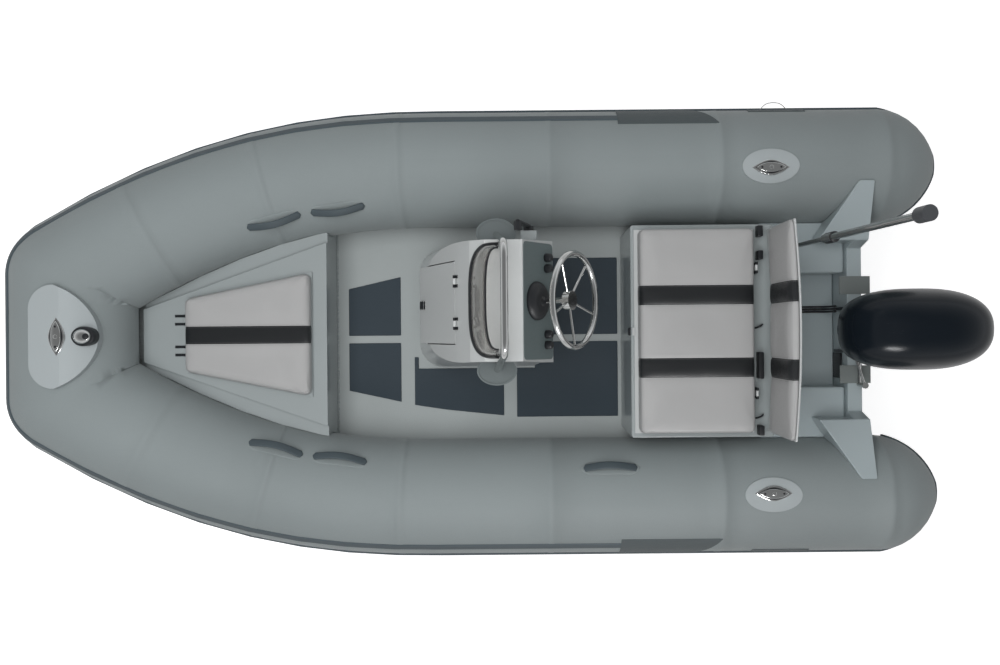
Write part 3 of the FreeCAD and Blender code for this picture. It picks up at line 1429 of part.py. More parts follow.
def build_eyes():
    hull = [thing for thing in parts if thing.Label == "hull"][0].Shape
    share = S.bow_eye_ahead / S.stem_ahead
    keel = -S.keel_depth + (S.stem_level + S.keel_depth) * share ** FOREFOOT_POWER
    eye = eye_ring()
    eye.rotate(ORIGIN, PORT, -135)
    eye.rotate(ORIGIN, PORT, 180)
    outer = S.eye_radius + S.eye_ring
    eye.translate(Vector(S.bow_eye_ahead + outer, 0, keel - outer))
    feature("bow_eye", eye.cut(hull))
    rings = []
    for side in (-1, 1):
        ring = eye_ring()
        ring.rotate(ORIGIN, FORE, 90)
        ring.rotate(ORIGIN, UP, 180)
        ring.translate(Vector(-S.hull_end - outer - S.eye_ring, side * S.stern_eye_offset, S.stern_eye_level))
        rings.append(ring)
    transom = [thing for thing in parts if thing.Label == "transom"][0].Shape
    feature("stern_eyes", Part.makeCompound([ring.cut([transom, hull]) for ring in rings]))


def build_all():
    build_hull()
    build_deck()
    build_bow_locker()
    build_transom()
    build_aft_deck()
    build_collar()
    build_strakes()
    build_patches()
    build_handles()
    build_bow_fittings()
    build_stern_fittings()
    build_console()
    build_screen()
    build_helm()
    build_console_extras()
    build_seat()
    build_pole()
    build_clamp()
    build_swivel()
    build_ram()
    build_outboard()
    build_propeller()
    build_eyes()


def check_and_write():
    doc.recompute()
    for thing in doc.Objects:
        if "Invalid" in thing.State or "Error" in thing.State:
            raise RuntimeError("%s failed: %s" % (thing.Label, thing.State))
    os.makedirs("parts", exist_ok=True)
    for thing in parts:
        shape = thing.Shape
        if shape.isNull() or not shape.isValid() or not shape.Solids:
            raise RuntimeError("%s has no valid solid" % thing.Label)
        shape.exportStep("parts/%s.step" % thing.Label)
        print("%-18s solids %d faces %d litres %.3f" % (thing.Label, len(shape.Solids), len(shape.Faces), shape.Volume / 1e6))


build_all()
check_and_write()
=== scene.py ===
"""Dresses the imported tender: a rigid inflatable boat with console, bench, bow locker and outboard.

Metres, in the boat's own frame: X to the bow, Y to port, Z up, the origin on the waterline amidships.
"""
import math

import bmesh
import bpy
from bpy.props import FloatProperty, FloatVectorProperty, PointerProperty
from mathutils import Matrix, Vector, noise


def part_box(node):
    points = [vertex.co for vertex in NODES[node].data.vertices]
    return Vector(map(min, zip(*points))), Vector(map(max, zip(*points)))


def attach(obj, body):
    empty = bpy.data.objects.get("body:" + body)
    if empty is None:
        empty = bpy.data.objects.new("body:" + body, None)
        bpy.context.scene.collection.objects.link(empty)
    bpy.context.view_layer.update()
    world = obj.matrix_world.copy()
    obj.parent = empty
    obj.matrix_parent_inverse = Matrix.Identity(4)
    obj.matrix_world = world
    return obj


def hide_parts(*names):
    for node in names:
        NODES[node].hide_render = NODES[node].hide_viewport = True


bl_info = {
    "name": "Tender Dressing",
    "version": (1, 0, 0),
    "blender": (4, 5, 0),
    "location": "3D View > Sidebar > Tender",
    "description": "Builds the tender's fabric, upholstery, engine cowl and finishes over the packed parts",
    "category": "Object",
}

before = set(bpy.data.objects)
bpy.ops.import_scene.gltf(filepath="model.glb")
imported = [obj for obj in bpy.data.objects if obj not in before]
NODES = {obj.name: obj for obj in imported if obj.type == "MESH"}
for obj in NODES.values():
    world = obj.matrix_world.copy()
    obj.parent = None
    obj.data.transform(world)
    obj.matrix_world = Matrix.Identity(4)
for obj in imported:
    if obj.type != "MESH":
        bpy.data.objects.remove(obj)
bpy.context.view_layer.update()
FORE = Vector((1, 0, 0))
PORT = Vector((0, 1, 0))
UP = Vector((0, 0, 1))


def srgb(red, green, blue):
    """A display colour of 0 to 255 as the linear colour that the shaders use."""
    return tuple(((v / 255 + 0.055) / 1.055) ** 2.4 if v > 10 else v / 3295 for v in (red, green, blue))


def colour_prop(name, text, red, green, blue):
    return FloatVectorProperty(name=name, description=text, subtype="COLOR", size=3, min=0, max=1,
                               default=srgb(red, green, blue))


def length_prop(name, text, value):
    return FloatProperty(name=name, description=text, default=value, unit="LENGTH", subtype="DISTANCE")


class TenderColours(bpy.types.PropertyGroup):
    """Colours of the tender's finishes"""
    tube: colour_prop("Tube fabric", "Coated fabric of the inflatable collar", 137, 145, 146)
    strake: colour_prop("Strake rubber", "Rubber of the strakes and grab handles", 71, 81, 86)
    patch: colour_prop("Patch fabric", "Darker fabric of the side panels", 76, 84, 86)
    gelcoat: colour_prop("Gelcoat", "Glossy laminate of console and bench", 188, 191, 191)
    moulding: colour_prop("Moulding", "Greyer laminate of locker, transom and hull", 150, 157, 158)
    # Stern moulding: the moulding's laminate painted lighter, painted light on the transom and splash well,
    # which the lamp lights less
    stern: colour_prop("Stern moulding with painted light", "Laminate of the transom and the splash well", 168, 179, 182)
    deck: colour_prop("Deck", "Satin deck between the pads", 158, 164, 164)
    satin: colour_prop("Satin metal", "Brushed bowls at the rail's feet", 128, 136, 137)
    pad: colour_prop("Floor pad", "Non-slip foam sheet on the deck", 58, 67, 74)
    vinyl: colour_prop("Vinyl", "Light upholstery", 168, 168, 168)
    stripe: colour_prop("Stripe", "Dark bands of the upholstery", 27, 29, 31)
    fitting: colour_prop("Fitting plastic", "Bow step and cleat bases", 164, 171, 173)
    steel: colour_prop("Polished steel", "Rail, wheel and cleats", 196, 197, 196)
    black: colour_prop("Black plastic", "Knobs, latches and hinges", 26, 28, 31)
    # Dash: painted shade, the dark colour of a thin sheet laid over the sloping dash, which lies in shade
    dash: colour_prop("Dash", "Sloping panel behind the wheel", 104, 117, 118)
    cowl: colour_prop("Cowl paint", "Deep gloss paint of the engine", 17, 24, 31)
    cast: colour_prop("Cast metal", "Painted castings of the engine mount", 92, 97, 101)
    mount: colour_prop("Mount plate", "Plates under the engine's clamps", 118, 124, 123)
    lamp: colour_prop("Lamp housing", "Grey housing of the light on its pole", 66, 68, 71)
    acrylic: colour_prop("Smoked acrylic", "Tint of the screen", 212, 210, 207)
    thread: colour_prop("Thread", "Stitches of the upholstery", 120, 122, 122)
    dust: colour_prop("Dust", "Dust that gathers in hollows", 70, 74, 74)


class TenderSizes(bpy.types.PropertyGroup):
    """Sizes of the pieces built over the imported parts"""
    tube_radius: length_prop("Tube radius", "Radius of the inflated tube", 0.245)
    tube_offset: length_prop("Tube offset", "Tube centre from the centreline", 0.705)
    tube_level: length_prop("Tube level", "Height of the tube centre amidships", 0.255)
    bow_lift: length_prop("Bow lift", "Rise of the tube centre at the bow", 0.215)
    bend_start: length_prop("Bend start", "Where the tube starts to curve inboard", 0.2)
    corner_ahead: length_prop("Corner ahead", "Station of the bow corners", 1.686)
    corner_offset: length_prop("Corner offset", "Bow corners from the centreline", 0.245)
    cone_start: length_prop("Cone start", "Where the stern cones begin, aft", 1.690)
    cone_length: length_prop("Cone length", "Length of the stern cones", 0.235)
    seam_width: length_prop("Seam width", "Width of the glued seam tapes", 0.026)
    seam_rise: length_prop("Seam rise", "Thickness of the glued seam tapes", 0.0009)
    crown: length_prop("Cushion crown", "Swell of the cushions between seams", 0.007)
    give: length_prop("Cushion give", "Room left over the cushions' crown for the cloth's swell", 0.004)
    groove: length_prop("Seam groove", "Depth of the sewn channels", 0.004)
    backrest_bow: length_prop("Backrest bow", "How far the backrest's panel bows aft", 0.02)
    camera_height: length_prop("Camera height", "Height of the camera over the waterline", 4.3)
    floor_level: length_prop("Floor level", "Level of the pale floor", -0.52)
    sky_level: FloatProperty(name="Sky level", description="Brightness of the light from all round",
                             subtype="FACTOR", min=0, max=1, default=0.26)


def colours():
    return bpy.context.scene.tender_colours


def sizes():
    return bpy.context.scene.tender_sizes


# Shader node groups

STITCH_INSET = 0.005
STITCH_HALF_WIDTH = 0.0009
STITCHES_PER_METRE = 220.0
STITCH_GAP_SHARE = 0.35


def group_tree(name, inputs, outputs):
    """A new shader group with named float or colour sockets: its tree, what goes in and what comes out."""
    tree = bpy.data.node_groups.new(name, "ShaderNodeTree")
    kinds = {"F": "NodeSocketFloat", "C": "NodeSocketColor"}
    for label, kind, value in inputs:
        socket = tree.interface.new_socket(name=label, in_out="INPUT", socket_type=kinds[kind])
        if value is not None:
            socket.default_value = value
    for label, kind in outputs:
        tree.interface.new_socket(name=label, in_out="OUTPUT", socket_type=kinds[kind])
    return tree, tree.nodes.new("NodeGroupInput").outputs, tree.nodes.new("NodeGroupOutput").inputs


def fill(node, **values):
    """Set a node's properties, or its inputs by their names with a _ for each space."""
    for key, value in values.items():
        if hasattr(node, key):
            setattr(node, key, value)
        else:
            node.inputs[key.replace("_", " ")].default_value = value


def add(tree, kind, links=(), **values):
    """The outputs of a new node, with its properties, input values and incoming links set."""
    node = tree.nodes.new("ShaderNode" + kind)
    fill(node, **values)
    for target, source in links:
        tree.links.new(source, node.inputs[target])
    return node.outputs


def calc(tree, operation, first, second=None):
    """A math node on sockets or plain numbers; its result's socket."""
    node = tree.nodes.new("ShaderNodeMath")
    node.operation = operation
    for i, value in enumerate((first, second)):
        if isinstance(value, (int, float)):
            node.inputs[i].default_value = value
        elif value is not None:
            tree.links.new(value, node.inputs[i])
    return node.outputs[0]


def place_of(tree):
    return add(tree, "TexCoord")["Object"]


def drift_group():
    """Slow unevenness of a colour, with a fine speckle."""
    inputs = [("Colour", "C", None), ("Amount", "F", 0.06), ("Scale", "F", 3.0), ("Speckle", "F", 0.02)]
    tree, given, result = group_tree("Colour drift", inputs, [("Colour", "C")])
    place = place_of(tree)
    slow = add(tree, "TexNoise", [("Vector", place), ("Scale", given["Scale"])], Detail=3.0)
    fine = add(tree, "TexNoise", [("Vector", place)], Scale=420.0, Detail=1.0)
    low = calc(tree, "MULTIPLY", calc(tree, "SUBTRACT", slow[0], 0.5), given["Amount"])
    high = calc(tree, "MULTIPLY", calc(tree, "SUBTRACT", fine[0], 0.5), given["Speckle"])
    value = calc(tree, "ADD", calc(tree, "MULTIPLY", calc(tree, "ADD", low, high), 4.0), 1.0)
    out = add(tree, "HueSaturation", [("Color", given["Colour"]), ("Value", value)])
    tree.links.new(out[0], result["Colour"])
    return tree


def weave_group():
    """The basket weave of coated fabric, as a height."""
    tree, given, result = group_tree("Fabric weave", [("Threads", "F", 700.0)], [("Height", "F")])
    links = [("Vector", place_of(tree)), ("Scale", given["Threads"])]
    waves = []
    for way in "XYZ":
        waves.append(add(tree, "TexWave", links, bands_direction=way, Distortion=0.4, Detail=1.0)["Fac"])
    total = calc(tree, "ADD", calc(tree, "ADD", waves[0], waves[1]), waves[2])
    tree.links.new(total, result["Height"])
    return tree


def grain_group():
    """Moulded or leather grain from small cells, as a height."""
    inputs = [("Scale", "F", 500.0), ("Softness", "F", 0.5)]
    tree, given, result = group_tree("Cell grain", inputs, [("Height", "F")])
    place = place_of(tree)
    cells = add(tree, "TexVoronoi", [("Vector", place), ("Scale", given["Scale"])])
    slow = add(tree, "TexNoise", [("Vector", place)], Scale=60.0, Detail=4.0)
    soft = calc(tree, "MULTIPLY", slow[0], given["Softness"])
    tree.links.new(calc(tree, "ADD", cells["Distance"], soft), result["Height"])
    return tree


def scuff_group():
    """Fine rubbed marks that change the gloss."""
    inputs = [("Roughness", "F", 0.4), ("Amount", "F", 0.1), ("Scale", "F", 30.0)]
    tree, given, result = group_tree("Scuff marks", inputs, [("Roughness", "F"), ("Mask", "F")])
    stretch = add(tree, "Mapping", [("Vector", place_of(tree))], Scale=(1.0, 4.0, 2.0))
    links = [("Vector", stretch[0]), ("Scale", given["Scale"])]
    marks = add(tree, "TexNoise", links, Detail=8.0, Roughness=0.7)
    mask = add(tree, "MapRange", [("Value", marks[0])], From_Min=0.45, From_Max=0.75)
    value = calc(tree, "ADD", given["Roughness"], calc(tree, "MULTIPLY", mask[0], given["Amount"]))
    tree.links.new(value, result["Roughness"])
    tree.links.new(mask[0], result["Mask"])
    return tree


def wear_group():
    """Paler rubbed edges and dust that gathers in hollows."""
    inputs = [("Colour", "C", None), ("Edge", "F", 0.25), ("Dust", "F", 0.15)]
    tree, given, result = group_tree("Edge wear", inputs, [("Colour", "C")])
    point = add(tree, "NewGeometry")["Pointiness"]
    edge = add(tree, "MapRange", [("Value", point)], From_Min=0.53, From_Max=0.62)
    hollow = add(tree, "MapRange", [("Value", point)], From_Min=0.47, From_Max=0.38)
    worn = add(tree, "HueSaturation", [("Color", given["Colour"])], Value=1.35)
    rubbed = calc(tree, "MULTIPLY", edge[0], given["Edge"])
    dusty = calc(tree, "MULTIPLY", hollow[0], given["Dust"])
    paler = add(tree, "MixRGB", [("Fac", rubbed), ("Color1", given["Colour"]), ("Color2", worn[0])])
    tone = add(tree, "MixRGB", [("Fac", dusty), ("Color1", paler[0])], Color2=(*colours().dust, 1))
    tree.links.new(tone[0], result["Colour"])
    return tree


def band_group():
    """A mask between two distances from the centreline, with a row of stitches beside each edge."""
    inputs = [("Low", "F", 0.0), ("High", "F", 0.1)]
    tree, given, result = group_tree("Sewn band", inputs, [("Mask", "F"), ("Stitch", "F")])
    split = add(tree, "SeparateXYZ", [(0, place_of(tree))])
    across = split["Y"]
    past_low = calc(tree, "GREATER_THAN", across, given["Low"])
    inside = calc(tree, "MULTIPLY", past_low, calc(tree, "LESS_THAN", across, given["High"]))
    rows = []
    for end in ("Low", "High"):
        gap = calc(tree, "ABSOLUTE", calc(tree, "SUBTRACT", across, given[end]))
        off = calc(tree, "ABSOLUTE", calc(tree, "SUBTRACT", gap, STITCH_INSET))
        rows.append(calc(tree, "LESS_THAN", off, STITCH_HALF_WIDTH))
    pitch = calc(tree, "FRACT", calc(tree, "MULTIPLY", split["X"], STITCHES_PER_METRE))
    dash = calc(tree, "GREATER_THAN", pitch, STITCH_GAP_SHARE)
    stitch = calc(tree, "MULTIPLY", calc(tree, "MAXIMUM", rows[0], rows[1]), dash)
    tree.links.new(inside, result["Mask"])
    tree.links.new(stitch, result["Stitch"])
    return tree


GROUP_MAKERS = {"drift": drift_group, "weave": weave_group, "grain": grain_group, "scuff": scuff_group,
                "wear": wear_group, "band": band_group}
GROUPS = {}


def use(tree, name, links=(), **values):
    """The outputs of a shared group, placed in a material with its own values."""
    if name not in GROUPS:
        GROUPS[name] = GROUP_MAKERS[name]()
    return add(tree, "Group", links, node_tree=GROUPS[name], **values)


FINISHES = {
    "Tube fabric": ("tube", dict(roughness=0.62, scale=1.6, weave=900.0, bump=0.00015, scuff=0.12, edge=0.1,
                                 dust=0.25, sheen=0.15)),
    "Strake rubber": ("strake", dict(roughness=0.6, drift=0.04, grain=0.3, cells=700.0, edge=0.3, dust=0.3)),
    "Patch fabric": ("patch", dict(roughness=0.65, drift=0.04, weave=900.0, bump=0.0002, dust=0.25)),
    "Gelcoat": ("gelcoat", dict(roughness=0.28, coat=0.35, drift=0.025, speckle=0.008, grain=0.12, cells=90.0,
                                softness=1.0, bump=0.0003, scuff=0.12, edge=0.12, dust=0.2)),
    "Deck": ("deck", dict(drift=0.04, grain=0.6, cells=260.0, softness=0.2, bump=0.0006, dust=0.3)),
    "Moulding": ("moulding", dict(roughness=0.3, coat=0.3, drift=0.03, speckle=0.01, grain=0.15, cells=120.0,
                                  softness=1.0, bump=0.0003, scuff=0.12, edge=0.15, dust=0.25)),
    # A lighter copy of Moulding: painted light on the transom and the splash well
    "Stern moulding with painted light": ("stern", dict(roughness=0.32, coat=0.25, drift=0.03, speckle=0.01, grain=0.15,
                                     cells=120.0, softness=1.0, bump=0.0003, scuff=0.12, edge=0.15,
                                     dust=0.25)),
    "Satin metal": ("satin", dict(roughness=0.35, metallic=0.6, drift=0.04, grain=0.2, cells=300.0,
                                  bump=0.0002, dust=0.2)),
    "Hull gelcoat": ("moulding", dict(roughness=0.25, coat=0.4, drift=0.03, grain=0.1, cells=60.0,
                                      softness=1.0, dust=0.25)),
    "Pad foam": ("pad", dict(roughness=0.85, grain=0.8, cells=620.0, bump=0.0008, scuff=0.05, edge=0.3)),
    "Vinyl": ("vinyl", dict(roughness=0.42, drift=0.025, scale=5.0, grain=0.35, cells=900.0, bump=0.0003,
                            scuff=0.15, edge=0.1, dust=0.3)),
    "Fitting plastic": ("fitting", dict(roughness=0.45, drift=0.02, grain=0.4, cells=420.0)),
    "Polished steel": ("steel", dict(roughness=0.12, metallic=1.0, drift=0.01, speckle=0.0, marks=80.0,
                                     edge=0.0, dust=0.0)),
    "Black plastic": ("black", dict(roughness=0.45, grain=0.4, cells=800.0, bump=0.0003, edge=0.5)),
    # Dash: finish of the thin dark sheet of painted shade on the sloping dash
    "Dash": ("dash", dict(drift=0.04, grain=0.5, cells=700.0, bump=0.0003, scuff=0.15)),
    "Mount plate": ("mount", dict(grain=0.3, bump=0.0003, scuff=0.2)),
    "Lamp housing": ("lamp", dict(roughness=0.4, drift=0.04, grain=0.3, cells=800.0, bump=0.0002, edge=0.4)),
    "Cowl paint": ("cowl", dict(roughness=0.23, specular=0.2, drift=0.03, speckle=0.03, scuff=0.06, edge=0.15,
                                dust=0.1)),
    "Engine satin": ("cowl", dict(roughness=0.4, grain=0.2, edge=0.5, dust=0.4)),
    "Cast metal": ("cast", dict(metallic=0.3, drift=0.06, grain=0.5, cells=350.0, edge=0.4, dust=0.4)),
    "Smoked acrylic": ("acrylic", dict(roughness=0.03, transmission=0.92, ior=1.15)),
}
COAT_ROUGHNESS = 0.06
STITCH_STRENGTH = 0.35
WEAVE_STRENGTH = 0.5
MATERIALS = {}


def new_material(name):
    """A new material with its tree and its shader."""
    material = bpy.data.materials.new(name)
    material.use_nodes = True
    return material, material.node_tree, material.node_tree.nodes["Principled BSDF"]


def plain(tree, colour):
    """One colour's socket."""
    node = tree.nodes.new("ShaderNodeRGB")
    node.outputs[0].default_value = (*colour, 1)
    return node.outputs[0]


def sewn(tree, tone, bands):
    """A colour with darker bands and their stitches."""
    stitches = None
    for low, high in bands:
        band = use(tree, "band", Low=low, High=high)
        links = [("Fac", band["Mask"]), ("Color1", tone)]
        tone = add(tree, "MixRGB", links, Color2=(*colours().stripe, 1))[0]
        stitches = calc(tree, "MAXIMUM", stitches, band["Stitch"]) if stitches else band["Stitch"]
    share = calc(tree, "MULTIPLY", stitches, STITCH_STRENGTH)
    return add(tree, "MixRGB", [("Fac", share), ("Color1", tone)], Color2=(*colours().thread, 1))[0]


def finish(name, colour, roughness=0.5, metallic=0.0, coat=0.0, specular=0.5, sheen=0.0, drift=0.05,
           scale=3.0, speckle=0.02, weave=0.0, grain=0.0, cells=500.0, softness=0.5, bump=0.0004, scuff=0.1,
           marks=30.0, edge=0.2, dust=0.15, bands=()):
    """A material of drifting colour, worn edges, rubbed gloss and a woven or moulded surface."""
    material, tree, shader = new_material(name)
    fill(shader, Metallic=metallic, Specular_IOR_Level=specular, Coat_Weight=coat,
         Coat_Roughness=COAT_ROUGHNESS, Sheen_Weight=sheen)
    tone = plain(tree, colour)
    if bands:
        tone = sewn(tree, tone, bands)
    tone = use(tree, "drift", [("Colour", tone)], Amount=drift, Scale=scale, Speckle=speckle)["Colour"]
    tone = use(tree, "wear", [("Colour", tone)], Edge=edge, Dust=dust)["Colour"]
    tree.links.new(tone, shader.inputs["Base Color"])
    gloss = use(tree, "scuff", Roughness=roughness, Amount=scuff, Scale=marks)["Roughness"]
    tree.links.new(gloss, shader.inputs["Roughness"])
    height = None
    if weave:
        height = use(tree, "weave", Threads=weave)["Height"]
    elif grain:
        height = use(tree, "grain", Scale=cells, Softness=softness)["Height"]
    if height is not None:
        bumps = add(tree, "Bump", [("Height", height)], Strength=grain or WEAVE_STRENGTH, Distance=bump)
        tree.links.new(bumps[0], shader.inputs["Normal"])
    return material


def glass(name, colour, roughness, transmission, ior):
    """A plain transmitting shader with faint rubbed marks."""
    material, tree, shader = new_material(name)
    fill(shader, Transmission_Weight=transmission, IOR=ior)
    tone = use(tree, "drift", [("Colour", plain(tree, colour))], Amount=0.02, Scale=5.0, Speckle=0.0)
    tree.links.new(tone["Colour"], shader.inputs["Base Color"])
    gloss = use(tree, "scuff", Roughness=roughness, Amount=0.08, Scale=60.0)
    tree.links.new(gloss["Roughness"], shader.inputs["Roughness"])
    return material


def look(name):
    """The material of a finish in the table, made when it is first used."""
    if name not in MATERIALS:
        tone, values = FINISHES[name]
        maker = glass if "transmission" in values else finish
        MATERIALS[name] = maker(name, getattr(colours(), tone), **values)
    return MATERIALS[name]


# Mesh helpers


def turns(count):
    """Cosine and sine of angles evenly spaced round a circle."""
    angles = [2 * math.pi * k / count for k in range(count)]
    return [(math.cos(angle), math.sin(angle)) for angle in angles]


def signed_power(value, power):
    return math.copysign(abs(value) ** power, value)


def new_object(name, data):
    thing = bpy.data.objects.new(name, data)
    bpy.context.scene.collection.objects.link(thing)
    return thing


def settle(thing, material, replaced, body, smooth=True):
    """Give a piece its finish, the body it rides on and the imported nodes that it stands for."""
    mesh = thing.data
    mesh.materials.clear()
    mesh.materials.append(material)
    mesh.polygons.foreach_set("use_smooth", [smooth] * len(mesh.polygons))
    mesh.update()
    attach(thing, body)
    if replaced:
        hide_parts(*replaced)


def piece(name, mesh, finish_name, replaced=(), body="boat", smooth=True):
    """A new piece of the boat from a finished mesh."""
    thing = new_object(name, mesh)
    settle(thing, look(finish_name), replaced, body, smooth)
    return thing


def mesh_of(name, points, faces):
    mesh = bpy.data.meshes.new(name)
    mesh.from_pydata([tuple(p) for p in points], [], faces)
    mesh.validate()
    mesh.update()
    return mesh


def mesh_from(name, work):
    mesh = bpy.data.meshes.new(name)
    bmesh.ops.recalc_face_normals(work, faces=work.faces)
    work.to_mesh(mesh)
    work.free()
    return mesh


def closed_rings(name, points, around):
    """A mesh of rings with one point count, joined by quads and closed at both ends."""
    faces = []
    for i in range(0, len(points) - around, around):
        for k in range(around):
            m = (k + 1) % around
            faces.append((i + k, i + m, i + around + m, i + around + k))
    faces.append(tuple(range(around))[::-1])
    faces.append(tuple(range(len(points) - around, len(points))))
    return mesh_of(name, points, faces)


def tube_mesh(name, path, radius, around=16):
    """A round bar along a list of points."""
    points = []
    side = (path[1] - path[0]).normalized().orthogonal().normalized()
    for i, place in enumerate(path):
        heading = (path[min(i + 1, len(path) - 1)] - path[max(i - 1, 0)]).normalized()
        side = (side - heading * side.dot(heading)).normalized()
        other = heading.cross(side)
        for cosine, sine in turns(around):
            points.append(place + side * (radius * cosine) + other * (radius * sine))
    return closed_rings(name, points, around)


def smooth_path(points):
    """Points along a smooth curve near the given ones."""
    curve = bpy.data.curves.new("path", "CURVE")
    curve.dimensions = "3D"
    curve.resolution_u = 10
    spline = curve.splines.new("NURBS")
    spline.points.add(len(points) - 1)
    for slot, place in zip(spline.points, points):
        slot.co = (*place, 1)
    spline.order_u = 3
    spline.use_endpoint_u = True
    holder = new_object("path", curve)
    mesh = bpy.data.meshes.new_from_object(holder)
    path = [v.co.copy() for v in mesh.vertices]
    bpy.data.objects.remove(holder)
    bpy.data.curves.remove(curve)
    bpy.data.meshes.remove(mesh)
    return path


def rounded_block(name, low, high, radius):
    """A block with rounded edges."""
    work = bmesh.new()
    bmesh.ops.create_cube(work, size=1)
    low = Vector(low)
    size = Vector(high) - low
    for vertex in work.verts:
        vertex.co = low + Vector([(vertex.co[i] + 0.5) * size[i] for i in range(3)])
    bmesh.ops.bevel(work, geom=work.edges[:], offset=radius, segments=3, profile=0.5, affect="EDGES")
    return mesh_from(name, work)


def turned(name, profile, origin, axis, around=48):
    """A round piece from (radius, height) pairs about an axis, closed at both ends."""
    axis = axis.normalized()
    side = axis.orthogonal().normalized()
    other = axis.cross(side)
    points = [origin + axis * height + (side * cosine + other * sine) * max(radius, 1e-4)
              for radius, height in profile for cosine, sine in turns(around)]
    return closed_rings(name, points, around)


def joined(name, meshes):
    """One mesh from several."""
    work = bmesh.new()
    for mesh in meshes:
        work.from_mesh(mesh)
        bpy.data.meshes.remove(mesh)
    return mesh_from(name, work)


def soften(node, width):
    """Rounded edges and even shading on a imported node."""
    thing = NODES[node]
    weld = thing.modifiers.new("Weld", "WELD")
    weld.merge_threshold = 0.00002
    bevel = thing.modifiers.new("Rounding", "BEVEL")
    bevel.width = width
    bevel.segments = 3
    bevel.limit_method = "ANGLE"
    bevel.angle_limit = math.radians(40)
    bevel.harden_normals = False
    thing.modifiers.new("Shading", "WEIGHTED_NORMAL")


def dress(finish_name, *nodes):
    """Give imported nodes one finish."""
    for node in nodes:
        mesh = NODES[node].data
        mesh.materials.clear()
        mesh.materials.append(look(finish_name))


# The collar

CONE_SHARES = ((1.034, 0.004), (1.03, 0.06), (1.015, 0.125), (1, 0.2), (0.97, 0.28), (0.93, 0.37),
               (0.86, 0.475), (0.76, 0.6), (0.62, 0.735), (0.46, 0.85), (0.3, 0.93), (0.14, 0.985))
SEAM_STATIONS = (-1.67, -0.98, -0.27, 0.36, 0.93, 1.40)
SIDE_RINGS = 12
BEND_RINGS = 36
CORNER_RINGS = 12
BEND_POWER = 2.35
TAPE_EDGE = 0.0012
SEAM_ROOM = 0.008


def tube_centre(x):
    s = sizes()
    share = min(max(0.0, (x - s.bend_start) / (s.corner_ahead - s.bend_start)), 1)
    return Vector((x, s.tube_offset - (s.tube_offset - s.corner_offset) * share ** BEND_POWER,
                   s.tube_level + s.bow_lift * share ** 2))


def tube_heading(x):
    if x <= sizes().bend_start:
        return FORE
    return (tube_centre(x) - tube_centre(x - 0.0005)).normalized()


def tube_frame(heading, upright):
    side = upright.cross(heading).normalized()
    return side, heading.cross(side)


def collar_rings():
    """Centre, heading, upright and radius of the port half's rings, from the stern to the bow's middle."""
    s = sizes()
    radius = s.tube_radius
    corner = tube_centre(s.corner_ahead)
    first = tube_heading(s.corner_ahead)
    last = -PORT
    crease = last.cross(first).normalized()
    hub = Vector((-s.cone_start, s.tube_offset, s.tube_level))
    rings = [(hub - FORE * (s.cone_length * share), FORE, UP, radius * reach) for share, reach in CONE_SHARES]
    run = s.corner_ahead - s.bend_start
    side = s.bend_start + s.cone_start
    stations = [-s.cone_start + side * i / SIDE_RINGS for i in range(SIDE_RINGS + 1)]
    stations += [s.bend_start + run * i / BEND_RINGS for i in range(1, BEND_RINGS + 1)]
    half = s.seam_width / 2
    marks = []
    for seam in SEAM_STATIONS:
        marks += [(seam - half, 0), (seam - half + TAPE_EDGE, 1)]
        marks += [(seam + half - TAPE_EDGE, 1), (seam + half, 0)]
        stations = [x for x in stations if abs(x - seam) > half + SEAM_ROOM]
    for x, raised in sorted([(x, 0) for x in stations] + marks):
        share = max(0, (x - s.bend_start) / run)
        upright = UP.lerp(crease, share ** 2).normalized()
        rings.append((tube_centre(x), tube_heading(x), upright, radius + raised * s.seam_rise))
    for i in range(1, CORNER_RINGS):
        rings.append((corner, first.slerp(last, i / CORNER_RINGS), crease, radius))
    for share in (1, 0.75, 0.5, 0.25, 0):
        centre = Vector((corner.x, corner.y * share, corner.z))
        rings.append((centre, last, UP.lerp(crease, share).normalized(), radius))
    return rings


def mitred(point, heading):
    """A point of one tube, slid along it to the plane where the side tube meets the bow tube."""
    s = sizes()
    corner = tube_centre(s.corner_ahead)
    plane = (tube_heading(s.corner_ahead) - PORT).normalized()
    past = (point - corner).dot(plane)
    of_bow = heading.dot(PORT) < -0.999
    if (past > 0) != of_bow and abs(past) > 1e-7:
        return point - heading * (past / heading.dot(plane))
    return point


def collar_mesh(around=72):
    """The port half's rings, and their mirror images from the bow back to the stern."""
    corner = tube_centre(sizes().corner_ahead)
    entry = tube_heading(sizes().corner_ahead)
    rings = collar_rings()
    points = []
    for centre, heading, upright, radius in rings:
        turning = centre == corner and entry.dot(heading) < 0.9999 and heading.dot(PORT) > -0.999
        for cosine, sine in turns(around):
            inner = turning and cosine < 0
            line = entry if inner else heading
            side, up = tube_frame(line, upright)
            point = centre + side * (radius * cosine) + up * (radius * sine)
            points.append(mitred(point, line) if inner or not turning else point)
    for i in range(len(rings) - 2, -1, -1):
        points += [Vector((p.x, -p.y, p.z)) for p in points[i * around:(i + 1) * around]]
    mesh = closed_rings("Collar skin", points, around)
    work = bmesh.new()
    work.from_mesh(mesh)
    bmesh.ops.remove_doubles(work, verts=work.verts, dist=1e-5)
    work.to_mesh(mesh)
    work.free()
    return mesh


class TENDER_OT_collar(bpy.types.Operator):
    """Build the inflated collar with its seam tapes, and finish its strakes and patches"""
    bl_idname = "tender.collar"
    bl_label = "Collar"

    def execute(self, context):
        piece("collar_skin", collar_mesh(), "Tube fabric", ["collar"])
        dress("Strake rubber", "rub_strake", "upper_strake")
        dress("Patch fabric", "side_panels", "chafe_patches")
        return {"FINISHED"}


# Each handle's station, its side, and how far it leans inboard in degrees
HANDLES = ((0.925, 1, 42), (0.64, 1, 42), (0.925, -1, 42), (0.64, -1, 42), (-0.515, 1, 35))


